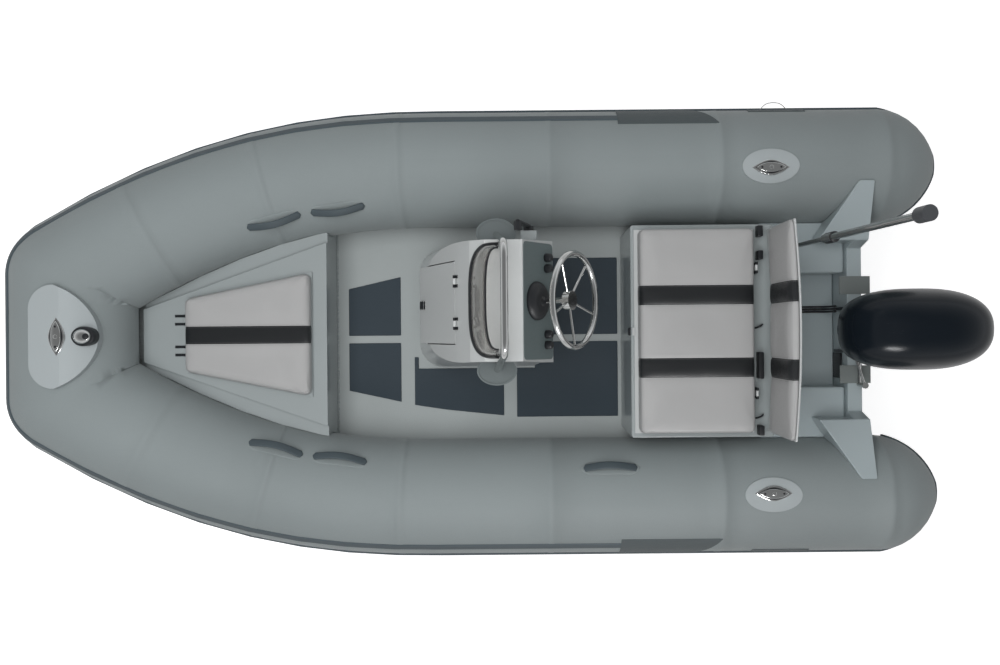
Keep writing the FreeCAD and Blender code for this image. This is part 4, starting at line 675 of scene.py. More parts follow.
def handle_frame(station, side, lean):
    """Place on the tube's surface, heading and outward direction of a handle."""
    centre = tube_centre(station)
    heading = tube_heading(station)
    outboard, up = tube_frame(heading, UP)
    angle = math.radians(lean)
    out = up * math.cos(angle) - outboard * math.sin(angle)
    flip = Matrix.Diagonal((1, side, 1))
    return flip @ (centre + out * sizes().tube_radius), flip @ heading, flip @ out


def strap_mesh(name, width, thick, length, arch, round_share, steps=28, around=12):
    """Straps along the tubes at every handle, arched by a height, as one mesh."""
    radius = sizes().tube_radius
    straps = []
    for station, side, lean in HANDLES:
        place, heading, out = handle_frame(station, side, lean)
        cross = out.cross(heading)
        points = []
        for i in range(steps + 1):
            t = 2 * i / steps - 1
            half = width / 2 * max(0.12, min(1, (1 - abs(t)) / round_share) ** 0.5)
            rise = arch * (1 - t * t) ** 1.5
            for cosine, sine in turns(around):
                across = half * signed_power(cosine, 0.5)
                height = thick / 2 * signed_power(sine, 0.6)
                drop = (radius - math.sqrt(radius ** 2 - across ** 2)) * (1 - rise / max(arch, 1e-6))
                level = thick / 2 + rise + height - drop
                points.append(place + heading * (t * length / 2) + cross * across + out * level)
        straps.append(closed_rings("Strap", points, around))
    return joined(name, straps)


class TENDER_OT_handles(bpy.types.Operator):
    """Build the five grab handles: a glued patch and a rubber strap that arches over it"""
    bl_idname = "tender.handles"
    bl_label = "Grab handles"

    def execute(self, context):
        patches = strap_mesh("Handle patches", width=0.058, thick=0.003, length=0.245, arch=0,
                             round_share=0.3)
        piece("handle_patches", patches, "Tube fabric")
        straps = strap_mesh("Handle straps", width=0.033, thick=0.009, length=0.222, arch=0.026,
                            round_share=0.05)
        piece("handle_straps", straps, "Strake rubber", ["grab_handles"])
        return {"FINISHED"}


class TENDER_OT_hull(bpy.types.Operator):
    """Finish the hull, deck, floor pads, transom and aft deck"""
    bl_idname = "tender.hull"
    bl_label = "Hull and deck"

    def execute(self, context):
        dress("Hull gelcoat", "hull")
        dress("Deck", "deck_floor")
        # The transom and aft deck take the lighter copy of the moulding: painted light
        dress("Stern moulding with painted light", "transom", "aft_deck")
        dress("Pad foam", "floor_pads")
        dress("Mount plate", "engine_pad_port", "engine_pad_starboard")
        dress("Polished steel", "bow_eye", "stern_eyes")
        soften("floor_pads", 0.003)
        soften("transom", 0.008)
        soften("aft_deck", 0.012)
        return {"FINISHED"}


# Upholstery

PAD_SPACING = 0.013
PAD_HEM = 0.008
PAD_HEM_INSET = 0.004
SEAM_EDGE = 0.003
CHANNEL_HALF_WIDTH = 0.006
RIPPLES = ((9, 0.0016), (31, 0.0005))
CLOTH_HELD = 0.012
CLOTH_CAP = 0.004
CLOTH_STEPS = 20
CLOTH_SETTINGS = dict(quality=6, mass=0.4, tension_stiffness=25, compression_stiffness=25,
                      bending_stiffness=6, use_pressure=True, uniform_pressure_force=4.0,
                      vertex_group_mass="held")
BENCH_BANDS = ((-0.181, -0.104), (0.106, 0.183))
BOW_BANDS = ((-0.037, 0.037),)
BOW_PAD_HALVES = (0.262, 0.155)


def inset_outline(outline, amount):
    """The outline moved inward along its corners' bisectors."""
    moved = []
    total = len(outline)
    for i, place in enumerate(outline):
        before = (place - outline[i - 1]).normalized()
        after = (outline[(i + 1) % total] - place).normalized()
        normal = Vector((-before.y - after.y, before.x + after.x)).normalized()
        bend = max(0.5, (1 + before.dot(after)) / 2) ** 0.5
        moved.append(place + normal * (amount / bend))
    return moved


def rounded_outline(corners, radius, steps=6):
    """A plan outline, anticlockwise, with each corner rounded."""
    outline = []
    total = len(corners)
    for i, corner in enumerate(corners):
        back = (corners[i - 1] - corner).normalized()
        ahead = (corners[(i + 1) % total] - corner).normalized()
        reach = radius / math.tan(back.angle(ahead) / 2)
        first = corner + back * reach
        last = corner + ahead * reach
        for k in range(steps + 1):
            t = k / steps
            outline.append(first * (1 - t) ** 2 + corner * (2 * t * (1 - t)) + last * t ** 2)
    return outline


def pad_mesh(name, outline, low, high, rounding, seams):
    """A closed pad from a plan outline: rounded top edge, top and bottom cut into an even grid."""
    levels = [(low, PAD_HEM_INSET), (low + PAD_HEM, 0.0)]
    for k in range(4):
        angle = math.pi / 2 * k / 3
        levels.append((high - rounding * (1 - math.sin(angle)), rounding * (1 - math.cos(angle))))
    work = bmesh.new()
    rings = []
    for level, inset in levels:
        rings.append([work.verts.new((p.x, p.y, level)) for p in inset_outline(outline, inset)])
    total = len(outline)
    for lower, upper in zip(rings, rings[1:]):
        for k in range(total):
            m = (k + 1) % total
            work.faces.new((lower[k], lower[m], upper[m], upper[k]))
    work.faces.new(rings[-1])
    work.faces.new(rings[0][::-1])
    for axis, normal in enumerate((FORE, PORT)):
        least = min(p[axis] for p in outline)
        most = max(p[axis] for p in outline)
        count = round((most - least) / PAD_SPACING)
        cuts = [least + (most - least) * i / count for i in range(1, count)]
        if normal is PORT:
            for seam in seams:
                cuts = [c for c in cuts if abs(c - seam) > PAD_SPACING * 0.6]
                cuts += [seam - SEAM_EDGE, seam, seam + SEAM_EDGE]
        for cut in cuts:
            bmesh.ops.bisect_plane(work, geom=work.verts[:] + work.edges[:] + work.faces[:], dist=1e-6,
                                   plane_co=normal * cut, plane_no=normal)
    return mesh_from(name, work)


def crown_and_seams(mesh, low, high, seams, swell, groove):
    """Swell the top between its seams and edges, and sink the sewn channels."""
    xs = [v.co.x for v in mesh.vertices]
    ys = [v.co.y for v in mesh.vertices]
    x_mid, x_half = (min(xs) + max(xs)) / 2, (max(xs) - min(xs)) / 2
    edges = [min(ys)] + sorted(seams) + [max(ys)]
    spans = list(zip(edges, edges[1:]))
    for vertex in mesh.vertices:
        place = vertex.co
        rise = min(1, max(0, (place.z - low) / (high - low) * 2 - 1))
        span = next((pair for pair in spans if pair[0] <= place.y <= pair[1]), (edges[0], edges[-1]))
        middle, half = (span[0] + span[1]) / 2, max(0.02, (span[1] - span[0]) / 2)
        across = max(0, 1 - abs((place.y - middle) / half) ** 3)
        along = max(0, 1 - abs((place.x - x_mid) / x_half) ** 6)
        ripple = sum(noise.noise(place * scale) * height for scale, height in RIPPLES)
        near = min(abs(place.y - seam) for seam in seams)
        sink = groove * max(0, 1 - near / CHANNEL_HALF_WIDTH)
        place.z += rise * (swell * along * (0.35 + 0.65 * across) + ripple - sink)
        if rise < 1:
            place.x += (x_mid - place.x) / x_half * sink * 0.5 * (1 - rise)
    mesh.update()


def inflate(thing, low):
    """Cloth under pressure with the underside pinned, no point moving further than the cap."""
    start = [v.co.copy() for v in thing.data.vertices]
    held = thing.vertex_groups.new(name="held")
    held.add([i for i, p in enumerate(start) if p.z < low + CLOTH_HELD], 1.0, "REPLACE")
    cloth = thing.modifiers.new("Cloth", "CLOTH")
    fill(cloth.settings, **CLOTH_SETTINGS)
    cloth.settings.effector_weights.gravity = 0
    scene = bpy.context.scene
    for step in range(1, CLOTH_STEPS + 1):
        scene.frame_set(step)
    mesh = bpy.data.meshes.new_from_object(thing.evaluated_get(bpy.context.evaluated_depsgraph_get()))
    thing.modifiers.clear()
    thing.data = mesh
    scene.frame_set(1)
    for vertex, first in zip(mesh.vertices, start):
        move = vertex.co - first
        if move.length > CLOTH_CAP:
            vertex.co = first + move * (CLOTH_CAP / move.length)


def cushion(name, corners, radius, low, high, rounding, bands, body, node, turn=None):
    """An upholstered pad with sewn bands; turn stands it up as the backrest's, which bows aft."""
    s = sizes()
    high -= s.crown + s.give
    seams = [edge for band in bands for edge in band]
    outline = rounded_outline([Vector(c) for c in corners], radius)
    thing = new_object(name, pad_mesh(name, outline, low, high, rounding, seams))
    inflate(thing, low)
    crown_and_seams(thing.data, low, high, seams, s.crown, s.groove)
    if turn:
        thing.data.transform(turn)
        half = max(v.co.y for v in thing.data.vertices)
        back, front = (corner.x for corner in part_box(node))
        for vertex in thing.data.vertices:
            depth = min(1, max(0, (front - vertex.co.x) / (front - back)))
            vertex.co.x += s.backrest_bow * (vertex.co.y / half) ** 2 * depth
    divide = thing.modifiers.new("Smooth", "SUBSURF")
    divide.levels = divide.render_levels = 1
    tone, values = FINISHES["Vinyl"]
    material = finish("Vinyl " + name, getattr(colours(), tone), bands=bands, **values)
    settle(thing, material, [node], body)


class TENDER_OT_locker(bpy.types.Operator):
    """Finish the bow locker and build its cushion"""
    bl_idname = "tender.locker"
    bl_label = "Bow locker"

    def execute(self, context):
        dress("Moulding", "bow_locker", "bow_lid")
        dress("Black plastic", "bow_hinges")
        soften("bow_locker", 0.006)
        low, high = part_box("bow_cushion")
        wide, narrow = BOW_PAD_HALVES
        corners = [(low.x, -wide), (high.x, -narrow), (high.x, narrow), (low.x, wide)]
        cushion("bow_pad", corners, 0.035, low.z, high.z, 0.012, BOW_BANDS, "bow_lid", "bow_cushion")
        return {"FINISHED"}


# Fittings

# A cleat's half sizes, and the shares of its length, width and height that the recess and the bar have
CLEAT_HALVES = (0.0775, 0.0325)
RIM_HEIGHT = 0.5
WELL_SHARES = (0.88, 0.84, 0.56)
BAR_SHARES = (0.8, 0.62)
BAR_POINT = 2.4
SCREW_PLACES = (-0.5, 0.5)
LENS_PROFILE = ((1, 0), (1, 0.55), (0.98, 0.8), (0.93, 0.95), (0.86, 1), (0.01, 1))


def lens_mesh(centre, along, long_half, short_half, high, point=1.7, around=64):
    """A pointed oval plate with a rounded top edge, its long axis along X or Y."""
    points = []
    for share, level in LENS_PROFILE:
        for cosine, sine in turns(around):
            across = math.copysign(1 - abs(cosine) ** point, sine)
            place = (long_half * share * cosine, short_half * share * across)
            x, y = place if along == 0 else place[::-1]
            points.append(Vector((centre.x + x, centre.y + y, centre.z + (high - centre.z) * level)))
    return closed_rings("Lens", points, around)


def cleats(name, node, along, sides):
    """Fold-down cleats: an oval rim, a dark recess in it, the folded bar with its hub, and two screws."""
    low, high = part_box(node)
    tall = high.z - low.z
    longest, shortest = CLEAT_HALVES
    hub = ((0.009, 0), (0.009, tall * 0.92), (0.007, tall), (0, tall))
    screw = ((0.0045, 0), (0.0045, tall * 0.96), (0.003, tall), (0, tall))
    bars = []
    wells = []
    for side in sides:
        foot = (low + high) / 2
        foot.z = low.z
        if side:
            foot.y = side * (high.y - shortest)
        bars.append(lens_mesh(foot, along, longest, shortest, low.z + tall * RIM_HEIGHT))
        length, width, height = WELL_SHARES
        wells.append(lens_mesh(foot, along, longest * length, shortest * width, low.z + tall * height))
        length, width = BAR_SHARES
        bars.append(lens_mesh(foot, along, longest * length, shortest * width, high.z - 0.001, BAR_POINT))
        bars.append(turned("Hub", hub, foot, UP, 24))
        for end in SCREW_PLACES:
            place = foot.copy()
            place[along] += end * longest
            wells.append(turned("Screw", screw, place, UP, 16))
    piece(name + "_bars", joined("Cleat bars", bars), "Polished steel", [node])
    piece(name + "_wells", joined("Cleat wells", wells), "Black plastic")


# The bow light as shares of its reach and height: its ring, its oval plan's width, its dome and its window
LIGHT_RING = ((1, 0), (1, 0.6), (0.94, 0.68), (0.8, 0.7), (0, 0.7))
LIGHT_OVAL = 0.84
DOME_REACH = 0.78
DOME_FOOT = 0.66
DOME_RISE = 0.34
DOME_ANGLES = (0, 0.2, 0.4, 0.6, 0.8, 1.0, 1.2, 1.4, math.pi / 2)
WINDOW_HEIGHT = 0.86
WINDOW_AFT = 0.42
WINDOW_LEAN = 0.5
LIGHT_WINDOW = ((0.012, 0), (0.012, 0.006), (0.009, 0.01), (0, 0.011))


class TENDER_OT_bow_fittings(bpy.types.Operator):
    """Finish the bow step, its cleat and the bow light"""
    bl_idname = "tender.bow_fittings"
    bl_label = "Bow fittings"

    def execute(self, context):
        dress("Fitting plastic", "bow_step")
        soften("bow_step", 0.008)
        cleats("bow_cleat", "bow_cleat", 1, (0,))
        low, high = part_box("bow_light")
        reach = (high.x - low.x) / 2
        tall = high.z - low.z
        foot = (low + high) / 2
        foot.z = low.z
        to_foot = Matrix.Translation(foot)
        oval = to_foot @ Matrix.Diagonal((1, LIGHT_OVAL, 1, 1)) @ Matrix.Translation(-foot)
        ring = turned("Light ring", [(reach * out, tall * up) for out, up in LIGHT_RING], foot, UP)
        dome = [(reach * DOME_REACH * math.cos(angle), tall * (DOME_FOOT + DOME_RISE * math.sin(angle)))
                for angle in DOME_ANGLES]
        cover = turned("Light cover", dome, foot, UP)
        for mesh in (ring, cover):
            mesh.transform(oval)
        piece("light_cover", cover, "Polished steel", ["bow_light"])
        piece("light_ring", ring, "Black plastic")
        place = foot + UP * (tall * WINDOW_HEIGHT) - FORE * reach * WINDOW_AFT
        window = turned("Light window", LIGHT_WINDOW, place, UP - FORE * WINDOW_LEAN, 32)
        piece("light_window", window, "Black plastic")
        return {"FINISHED"}


LANYARD_RADIUS = 0.0016
LANYARD_WIRE = ((-1.185, -0.948, 0.3), (-1.2, -0.972, 0.302), (-1.241, -0.98, 0.303), (-1.28, -0.972, 0.302),
                (-1.297, -0.948, 0.3))


class TENDER_OT_stern_fittings(bpy.types.Operator):
    """Finish the oval cleats on the stern tubes and the lanyard's ring"""
    bl_idname = "tender.stern_fittings"
    bl_label = "Stern cleats"

    def execute(self, context):
        dress("Fitting plastic", "stern_cleat_pads")
        cleats("stern_cleat", "stern_cleats", 0, (-1, 1))
        ring = tube_mesh("Lanyard ring", smooth_path(LANYARD_WIRE), LANYARD_RADIUS, 10)
        piece("lanyard_ring", ring, "Polished steel")
        return {"FINISHED"}


# The console

CONSOLE_MIDDLE = -0.112
DASH_TOP = Vector((-0.164, CONSOLE_MIDDLE, 1.07))
DASH_FOOT = Vector((-0.273, CONSOLE_MIDDLE, 0.88))
DASH_OUT = Vector((DASH_FOOT.z - DASH_TOP.z, 0, DASH_TOP.x - DASH_FOOT.x)).normalized()
# Corners and offsets of the thin dark sheet of painted shade over the dash
DASH_SHADE_CORNERS = ((0.02, -0.207), (0.98, -0.21), (0.98, 0.21), (0.02, 0.207))
DASH_SHADE_LEVELS = (0.0003, 0.002)
KNOB_OFFSETS = (-0.158, -0.119, 0.119, 0.158)
KNOB_SHARE = 0.75
BEZEL_SHARE = 0.42
KNOB_PROFILE = ((0.0155, 0.0018), (0.0155, 0.008), (0.0145, 0.021), (0.012, 0.026), (0.007, 0.028),
                (0, 0.0285))
BEZEL_PROFILE = ((0.069, 0.0018), (0.069, 0.008), (0.066, 0.016), (0.056, 0.025), (0.04, 0.03),
                 (0.022, 0.031), (0.0135, 0.031), (0.0135, 0.028), (0, 0.028))
BROW_FOOT = 1.0
BROW_RISE = 0.07
BROW_START = 0.025
BROW_RUN = 0.055
SCREEN_TOP = 1.25
SCREEN_THICK = 0.004
SCREEN_TRIM_RADIUS = 0.0085
SCREEN_EDGE_RADIUS = 0.003
SCREEN_POINTS = 49
SCREEN_ROWS = 8
SCREEN_BULGE = 0.006
LATCH_PLACE = (0.24415, CONSOLE_MIDDLE, 0.5784)
LATCH_OUT = Vector((0.896, 0, 0.444)).normalized()


def dash_point(share, offset=0):
    return DASH_TOP.lerp(DASH_FOOT, share) + PORT * offset


def screen_curve(front, depth, half, square):
    """The screen's plan at one height: a flat front with rounded corners and sides that run aft."""
    curve = []
    for i in range(SCREEN_POINTS):
        angle = math.pi * (i / (SCREEN_POINTS - 1) - 0.5)
        x = front - depth + depth * max(0, math.cos(angle)) ** (2 / square)
        curve.append((x, CONSOLE_MIDDLE + half * signed_power(math.sin(angle), 2 / square)))
    return curve


def brow_level(x):
    """Height of the console's top under the screen."""
    return BROW_FOOT + BROW_RISE * min(1, max(0, (BROW_START - x) / BROW_RUN))


def screen_mesh():
    """The screen between its lower and upper edge, with both edges."""
    foot = screen_curve(front=0.0214, depth=0.103, half=0.194, square=3.5)
    head = screen_curve(front=-0.042, depth=0.044, half=0.168, square=3.0)
    low = [Vector((x, y, brow_level(x))) for x, y in foot]
    high = [Vector((x, y, SCREEN_TOP)) for x, y in head]
    points = []
    for k in range(SCREEN_ROWS + 1):
        bulge = math.sin(math.pi * k / SCREEN_ROWS) * SCREEN_BULGE
        for a, b in zip(low, high):
            out = Vector((1, (a.y - CONSOLE_MIDDLE) * 2, 0)).normalized()
            points.append(a.lerp(b, k / SCREEN_ROWS) + out * bulge)
    corners = [i * SCREEN_POINTS + k for i in range(SCREEN_ROWS) for k in range(SCREEN_POINTS - 1)]
    faces = [(c, c + 1, c + 1 + SCREEN_POINTS, c + SCREEN_POINTS) for c in corners]
    return mesh_of("Screen", points, faces), low, high


class TENDER_OT_console(bpy.types.Operator):
    """Finish the console and build its screen with trim, its latch and a dark sheet of painted shade over the
    dash
    """
    bl_idname = "tender.console"
    bl_label = "Console"

    def execute(self, context):
        dress("Gelcoat", "console_shell", "console_hatch")
        dress("Satin metal", "rail_trays")
        dress("Polished steel", "console_rail")
        dress("Black plastic", "hatch_hinges")
        mesh, low, high = screen_mesh()
        screen = piece("screen", mesh, "Smoked acrylic", ["windshield"])
        wall = screen.modifiers.new("Wall", "SOLIDIFY")
        wall.thickness = SCREEN_THICK
        trim = tube_mesh("Screen trim", low, SCREEN_TRIM_RADIUS, 12)
        piece("screen_trim", trim, "Black plastic")
        edge = tube_mesh("Screen edge", high, SCREEN_EDGE_RADIUS, 10)
        piece("screen_edge", edge, "Black plastic")
        # The dash panel: a thin dark sheet over the sloping dash, painted shade where the dash lies in shade
        outline = rounded_outline([dash_point(*corner) for corner in DASH_SHADE_CORNERS], 0.02)
        points = [p + DASH_OUT * out for out in DASH_SHADE_LEVELS for p in outline]
        panel = closed_rings("Dash shade panel", points, len(outline))
        piece("dash_shade_panel", panel, "Dash", smooth=False)
        shapes = [turned("Knob", KNOB_PROFILE, dash_point(KNOB_SHARE, y), DASH_OUT, 32) for y in KNOB_OFFSETS]
        shapes.append(turned("Bezel", BEZEL_PROFILE, dash_point(BEZEL_SHARE), DASH_OUT, 64))
        knobs = joined("Dash knobs", shapes)
        piece("dash_knobs", knobs, "Black plastic", ["dash_controls"])
        turn = Matrix((PORT.cross(LATCH_OUT), PORT, LATCH_OUT)).transposed().to_4x4()
        latch = rounded_block("Hatch latch", (-0.0228, -0.0168, -0.0088), (0.0228, 0.0168, 0.0006), 0.003)
        latch.transform(Matrix.Translation(LATCH_PLACE) @ turn)
        piece("hatch_latch", latch, "Black plastic", body="console_hatch")
        dress("Moulding", "throttle_box")
        dress("Black plastic", "throttle_lever")
        soften("throttle_box", 0.006)
        return {"FINISHED"}


class TENDER_OT_helm(bpy.types.Operator):
    """Finish the steering wheel"""
    bl_idname = "tender.helm"
    bl_label = "Helm"

    def execute(self, context):
        dress("Polished steel", "helm_wheel")
        return {"FINISHED"}


# The bench's hinge blocks: their sides, their aft and fore faces, their feet and their height
GAP_BLOCKS = ((-0.42, -0.376), (-0.32, -0.284), (0.086, 0.193), (0.38, 0.42))
GAP_AFT = -1.121
GAP_FORE = -1.099
GAP_LEVEL = 0.545
GAP_HEIGHT = 0.045
STRAP_RADIUS = 0.004
STRAP_OFFSETS = (-0.018, 0.345)
STRAP_ROUTE = ((-1.124, -0.006, 0.004), (-1.118, -0.003, 0.022), (-1.104, 0.004, 0.022),
               (-1.096, 0.008, 0.004))


class TENDER_OT_bench(bpy.types.Operator):
    """Build the bench's cushions and finish its box and backrest"""
    bl_idname = "tender.bench"
    bl_label = "Bench seat"

    def execute(self, context):
        dress("Gelcoat", "seat_lid", "backrest_panel")
        dress("Moulding", "seat_box")
        dress("Black plastic", "seat_hinges")
        soften("seat_box", 0.01)
        soften("backrest_panel", 0.004)
        low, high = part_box("seat_cushion")
        corners = [(low.x, low.y), (high.x, low.y), (high.x, high.y), (low.x, high.y)]
        cushion("seat_pad", corners, 0.03, low.z, high.z, 0.014, BENCH_BANDS, "seat_lid", "seat_cushion")
        shapes = []
        for side, other in GAP_BLOCKS:
            top = (GAP_FORE, other, GAP_LEVEL + GAP_HEIGHT)
            shapes.append(rounded_block("Block", (GAP_AFT, side, GAP_LEVEL), top, 0.004))
        for offset in STRAP_OFFSETS:
            path = smooth_path([(x, offset + y, GAP_LEVEL + z) for x, y, z in STRAP_ROUTE])
            shapes.append(tube_mesh("Strap", path, STRAP_RADIUS, 10))
        piece("hinge_blocks", joined("Hinge blocks", shapes), "Black plastic")
        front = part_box("seat_box")[1].x
        corner = (front + 0.008, 0.016, 0.535)
        latch = rounded_block("Seat latch", (front - 0.004, -0.016, 0.505), corner, 0.004)
        piece("seat_latch", latch, "Black plastic")
        low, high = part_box("back_cushion")
        tall = high.z - low.z
        turn = Matrix.Translation((low.x, 0, high.z)) @ Matrix.Rotation(math.pi / 2, 4, "Y")
        corners = [(0, low.y), (tall, low.y), (tall, high.y), (0, high.y)]
        thick = high.x - low.x
        cushion("back_pad", corners, 0.03, 0, thick, 0.012, BENCH_BANDS, "boat", "back_cushion", turn)
        return {"FINISHED"}


POLE_COLLAR = ((0.018, 0), (0.0205, 0.004), (0.0205, 0.07), (0.018, 0.074))
POLE_COLLAR_SHARE = 0.43
POLE_FOOT_INSET = 0.0172
POLE_HEAD_INSET = 0.009


class TENDER_OT_light_pole(bpy.types.Operator):
    """Finish the stern light on its pole"""
    bl_idname = "tender.light_pole"
    bl_label = "Light pole"

    def execute(self, context):
        dress("Black plastic", "pole_base")
        dress("Lamp housing", "pole_light")
        dress("Polished steel", "light_pole")
        low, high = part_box("light_pole")
        middle = (low.y + high.y) / 2
        foot = Vector((high.x - POLE_FOOT_INSET, middle, low.z))
        head = Vector((low.x + POLE_HEAD_INSET, middle, high.z))
        slope = (head - foot).normalized()
        collar = turned("Pole collar", POLE_COLLAR, foot.lerp(head, POLE_COLLAR_SHARE), slope, 32)
        piece("pole_collar", collar, "Black plastic")
        return {"FINISHED"}


# The outboard

COWL_WIDEST = -1.717
COWL_FORE = 0.298
COWL_AFT = 0.274
COWL_HALF_WIDTH = 0.16
COWL_NOSE = 2.9
COWL_SQUARENESS = 2.4
COWL_SHOULDER_SHARE = 0.3
COWL_FOOT_SHARE = 0.965
COWL_TIP = 0.02
CROWN_ROUND = 0.86
CROWN_RISE = 0.95
CABLE_LINES = (-0.08, -0.091, -0.102)
CABLE_ROUTE = ((-1.242, 0.205), (-1.275, 0.205), (-1.31, 0.175), (-1.34, 0.1555), (-1.43, 0.1555),
               (-1.485, 0.158), (-1.508, 0.2), (-1.515, 0.262))
CABLE_THICKNESS = 0.009


def cowl_ring(size, level, around):
    """A ring of the cowl's blunt plan outline, as a share of its largest size."""
    ring = []
    for cosine, sine in turns(around):
        reach = COWL_FORE if cosine > 0 else COWL_AFT
        power = 2 / (COWL_NOSE if cosine > 0 else COWL_SQUARENESS)
        x = reach * size * signed_power(cosine, power)
        y = COWL_HALF_WIDTH * size * signed_power(sine, power)
        ring.append(Vector((COWL_WIDEST + x, y, level)))
    return ring


def cowl_mesh(low, high, around=96, steps=26):
    """The cowl: a skirt that widens to a shoulder, and a smooth crown above it."""
    shoulder = low + (high - low) * COWL_SHOULDER_SHARE
    points = []
    for share in (0, 0.01, 0.25, 0.5, 0.75):
        size = COWL_FOOT_SHARE + (1 - COWL_FOOT_SHARE) * math.sin(math.pi / 2 * share)
        points += cowl_ring(size, low + (shoulder - low) * share, around)
    for i in range(steps + 1):
        angle = math.pi / 2 * i / steps
        size = max(COWL_TIP, max(0, math.cos(angle)) ** CROWN_ROUND)
        level = shoulder + (high - shoulder) * math.sin(angle) ** CROWN_RISE
        points += cowl_ring(size, level, around)
    return closed_rings("Cowl", points, around)


def engine_cables():
    """The three cables from the bench box over the well to the engine's bracket."""
    for letter, side in zip("abc", CABLE_LINES):
        path = smooth_path([(x, side, z) for x, z in CABLE_ROUTE])
        mesh = tube_mesh("Cable", path, CABLE_THICKNESS / 2, 16)
        cable = piece("engine_cable_" + letter, mesh, "Black plastic")


class TENDER_OT_engine(bpy.types.Operator):
    """Build the outboard's cowl and cables, and finish its leg and mounts"""
    bl_idname = "tender.engine"
    bl_label = "Outboard"

    def execute(self, context):
        low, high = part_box("outboard_cowl")
        shell = cowl_mesh(low.z, high.z)
        piece("cowl_shell", shell, "Cowl paint", ["outboard_cowl"], "outboard")
        flap = rounded_block("Drain flap", (-1.541, 0.1, 0.155), (-1.535, 0.21, 0.26), 0.002)
        piece("drain_flap", flap, "Black plastic")
        engine_cables()
        dress("Cowl paint", "outboard_pan")
        dress("Engine satin", "outboard_leg", "propeller", "clamp_bracket", "swivel_bracket")
        dress("Cast metal", "powerhead")
        dress("Polished steel", "steering_link")
        return {"FINISHED"}


# The stage

# Each lamp's name, place, aim, length, width, power and the kind of ray that doesn't see it
LAMPS = (("Soft box", (0.8, 0.4, 5.2), (0.6, 0.4, 0), 5.0, 3.4, 205, "visible_glossy"),
         ("Side glow", (-0.85, 2.4, 2.3), (-1.55, 0.08, 0.8), 1.1, 0.5, 48, "visible_diffuse"))
FLOOR_HALF = 30
FLOOR_GLOW = 0.74
FLOOR_MIRRORED = 0.3
SENSOR_WIDTH = 36
LENS_SHARE = 0.9307
CAMERA_SHIFT = -0.03
CAMERA_STATION = -0.188
CAMERA_TURN = -0.0088


def soft_lamp(name, place, aim, length, width, power, unseen):
    """A soft rectangular lamp that one kind of ray doesn't see."""
    lamp = bpy.data.lights.new(name, "AREA")
    lamp.shape = "RECTANGLE"
    lamp.size = length
    lamp.size_y = width
    lamp.energy = power
    holder = new_object(name, lamp)
    holder.location = place
    holder.visible_camera = False
    setattr(holder, unseen, False)
    holder.rotation_euler = (Vector(aim) - Vector(place)).to_track_quat("-Z", "Y").to_euler()


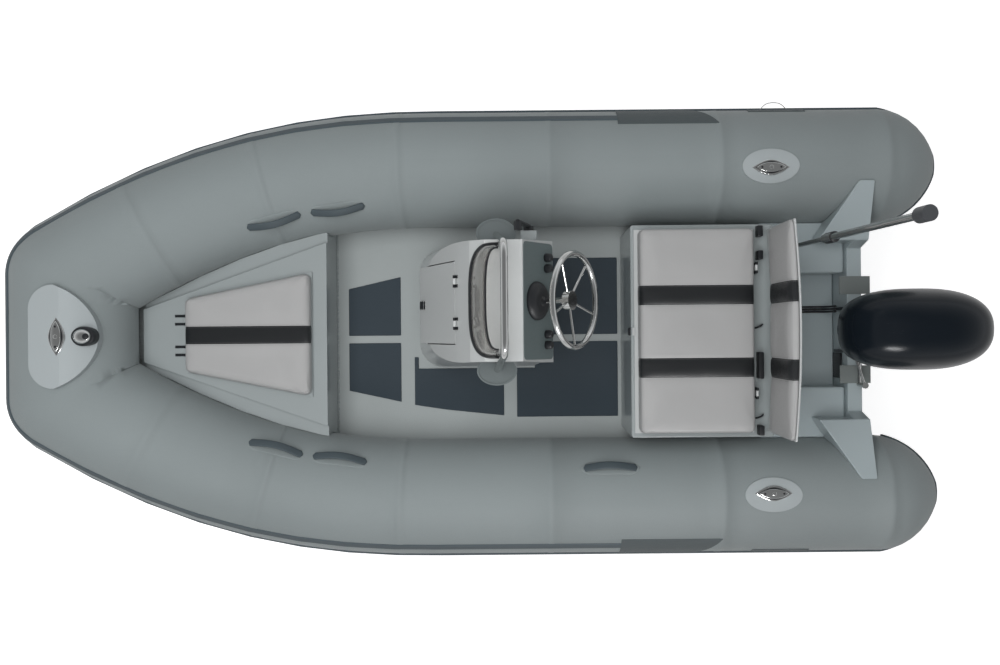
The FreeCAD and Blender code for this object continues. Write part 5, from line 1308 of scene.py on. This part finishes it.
class TENDER_OT_stage(bpy.types.Operator):
    """Set the floor, the light and the camera"""
    bl_idname = "tender.stage"
    bl_label = "Stage"

    def floor(self, level):
        """A pale floor that glows for the camera and, less, in mirrors."""
        corners = [(x * FLOOR_HALF, y * FLOOR_HALF, 0) for x, y in ((-1, -1), (1, -1), (1, 1), (-1, 1))]
        floor = new_object("Floor", mesh_of("Floor", corners, [(0, 1, 2, 3)]))
        floor.location.z = level
        material, tree, shader = new_material("Floor")
        fill(shader, Base_Color=(0.85, 0.85, 0.85, 1), Roughness=0.9, Emission_Color=(1, 1, 1, 1))
        rays = add(tree, "LightPath")
        seen = calc(tree, "MAXIMUM", rays["Is Camera Ray"], rays["Is Transmission Ray"])
        mirrored = calc(tree, "MULTIPLY", rays["Is Glossy Ray"], FLOOR_MIRRORED)
        glow = calc(tree, "ADD", calc(tree, "MULTIPLY", seen, FLOOR_GLOW), mirrored)
        tree.links.new(glow, shader.inputs["Emission Strength"])
        floor.data.materials.append(material)

    def sky(self, world, level):
        """White for the camera, even light on the boat, and brighter low down in mirrors."""
        world.use_nodes = True
        tree = world.node_tree
        back = tree.nodes["Background"]
        fill(back, Color=(0.97, 0.985, 1, 1))
        rays = add(tree, "LightPath")
        mirrored = calc(tree, "MAXIMUM", rays["Is Glossy Ray"], rays["Is Transmission Ray"])
        direction = add(tree, "SeparateXYZ", [(0, add(tree, "TexCoord")["Generated"])])
        fade = add(tree, "MapRange", [("Value", direction["Z"])], From_Min=0.0, From_Max=0.8, To_Min=1.0,
                   To_Max=level)
        strength = calc(tree, "MAXIMUM", calc(tree, "MULTIPLY", mirrored, fade[0]), level)
        shown = calc(tree, "MAXIMUM", rays["Is Camera Ray"], strength)
        tree.links.new(shown, back.inputs["Strength"])

    def execute(self, context):
        s = sizes()
        scene = context.scene
        self.floor(s.floor_level)
        scene.world = bpy.data.worlds.new("Studio")
        self.sky(scene.world, s.sky_level)
        for lamp in LAMPS:
            soft_lamp(*lamp)
        camera = bpy.data.cameras.new("Camera")
        camera.sensor_width = SENSOR_WIDTH
        camera.lens = SENSOR_WIDTH * LENS_SHARE
        camera.shift_x = CAMERA_SHIFT
        camera.clip_end = 200
        eye = new_object("Camera", camera)
        eye.location = (CAMERA_STATION, 0, s.camera_height)
        eye.rotation_euler = (0, 0, math.pi + CAMERA_TURN)
        scene.camera = eye
        scene.view_settings.view_transform = "Standard"
        return {"FINISHED"}


class TENDER_PT_panel(bpy.types.Panel):
    """Lists the tender's pieces, sizes and colours"""
    bl_label = "Tender"
    bl_idname = "TENDER_PT_panel"
    bl_space_type = "VIEW_3D"
    bl_region_type = "UI"
    bl_category = "Tender"

    def draw(self, context):
        for operator in OPERATORS:
            self.layout.operator(operator.bl_idname)
        for settings in (context.scene.tender_sizes, context.scene.tender_colours):
            for name in settings.__annotations__:
                self.layout.prop(settings, name)


OPERATORS = (TENDER_OT_stage, TENDER_OT_collar, TENDER_OT_handles, TENDER_OT_hull, TENDER_OT_locker,
             TENDER_OT_bow_fittings, TENDER_OT_stern_fittings, TENDER_OT_console, TENDER_OT_helm,
             TENDER_OT_bench, TENDER_OT_light_pole, TENDER_OT_engine)
CLASSES = (TenderColours, TenderSizes, *OPERATORS, TENDER_PT_panel)


def register():
    for cls in CLASSES:
        bpy.utils.register_class(cls)
    bpy.types.Scene.tender_colours = PointerProperty(type=TenderColours)
    bpy.types.Scene.tender_sizes = PointerProperty(type=TenderSizes)


def unregister():
    del bpy.types.Scene.tender_sizes
    del bpy.types.Scene.tender_colours
    for cls in reversed(CLASSES):
        bpy.utils.unregister_class(cls)


def main():
    register()
    for operator in OPERATORS:
        group_name, name = operator.bl_idname.split(".")
        getattr(getattr(bpy.ops, group_name), name)()


if __name__ == "__main__":
    main()
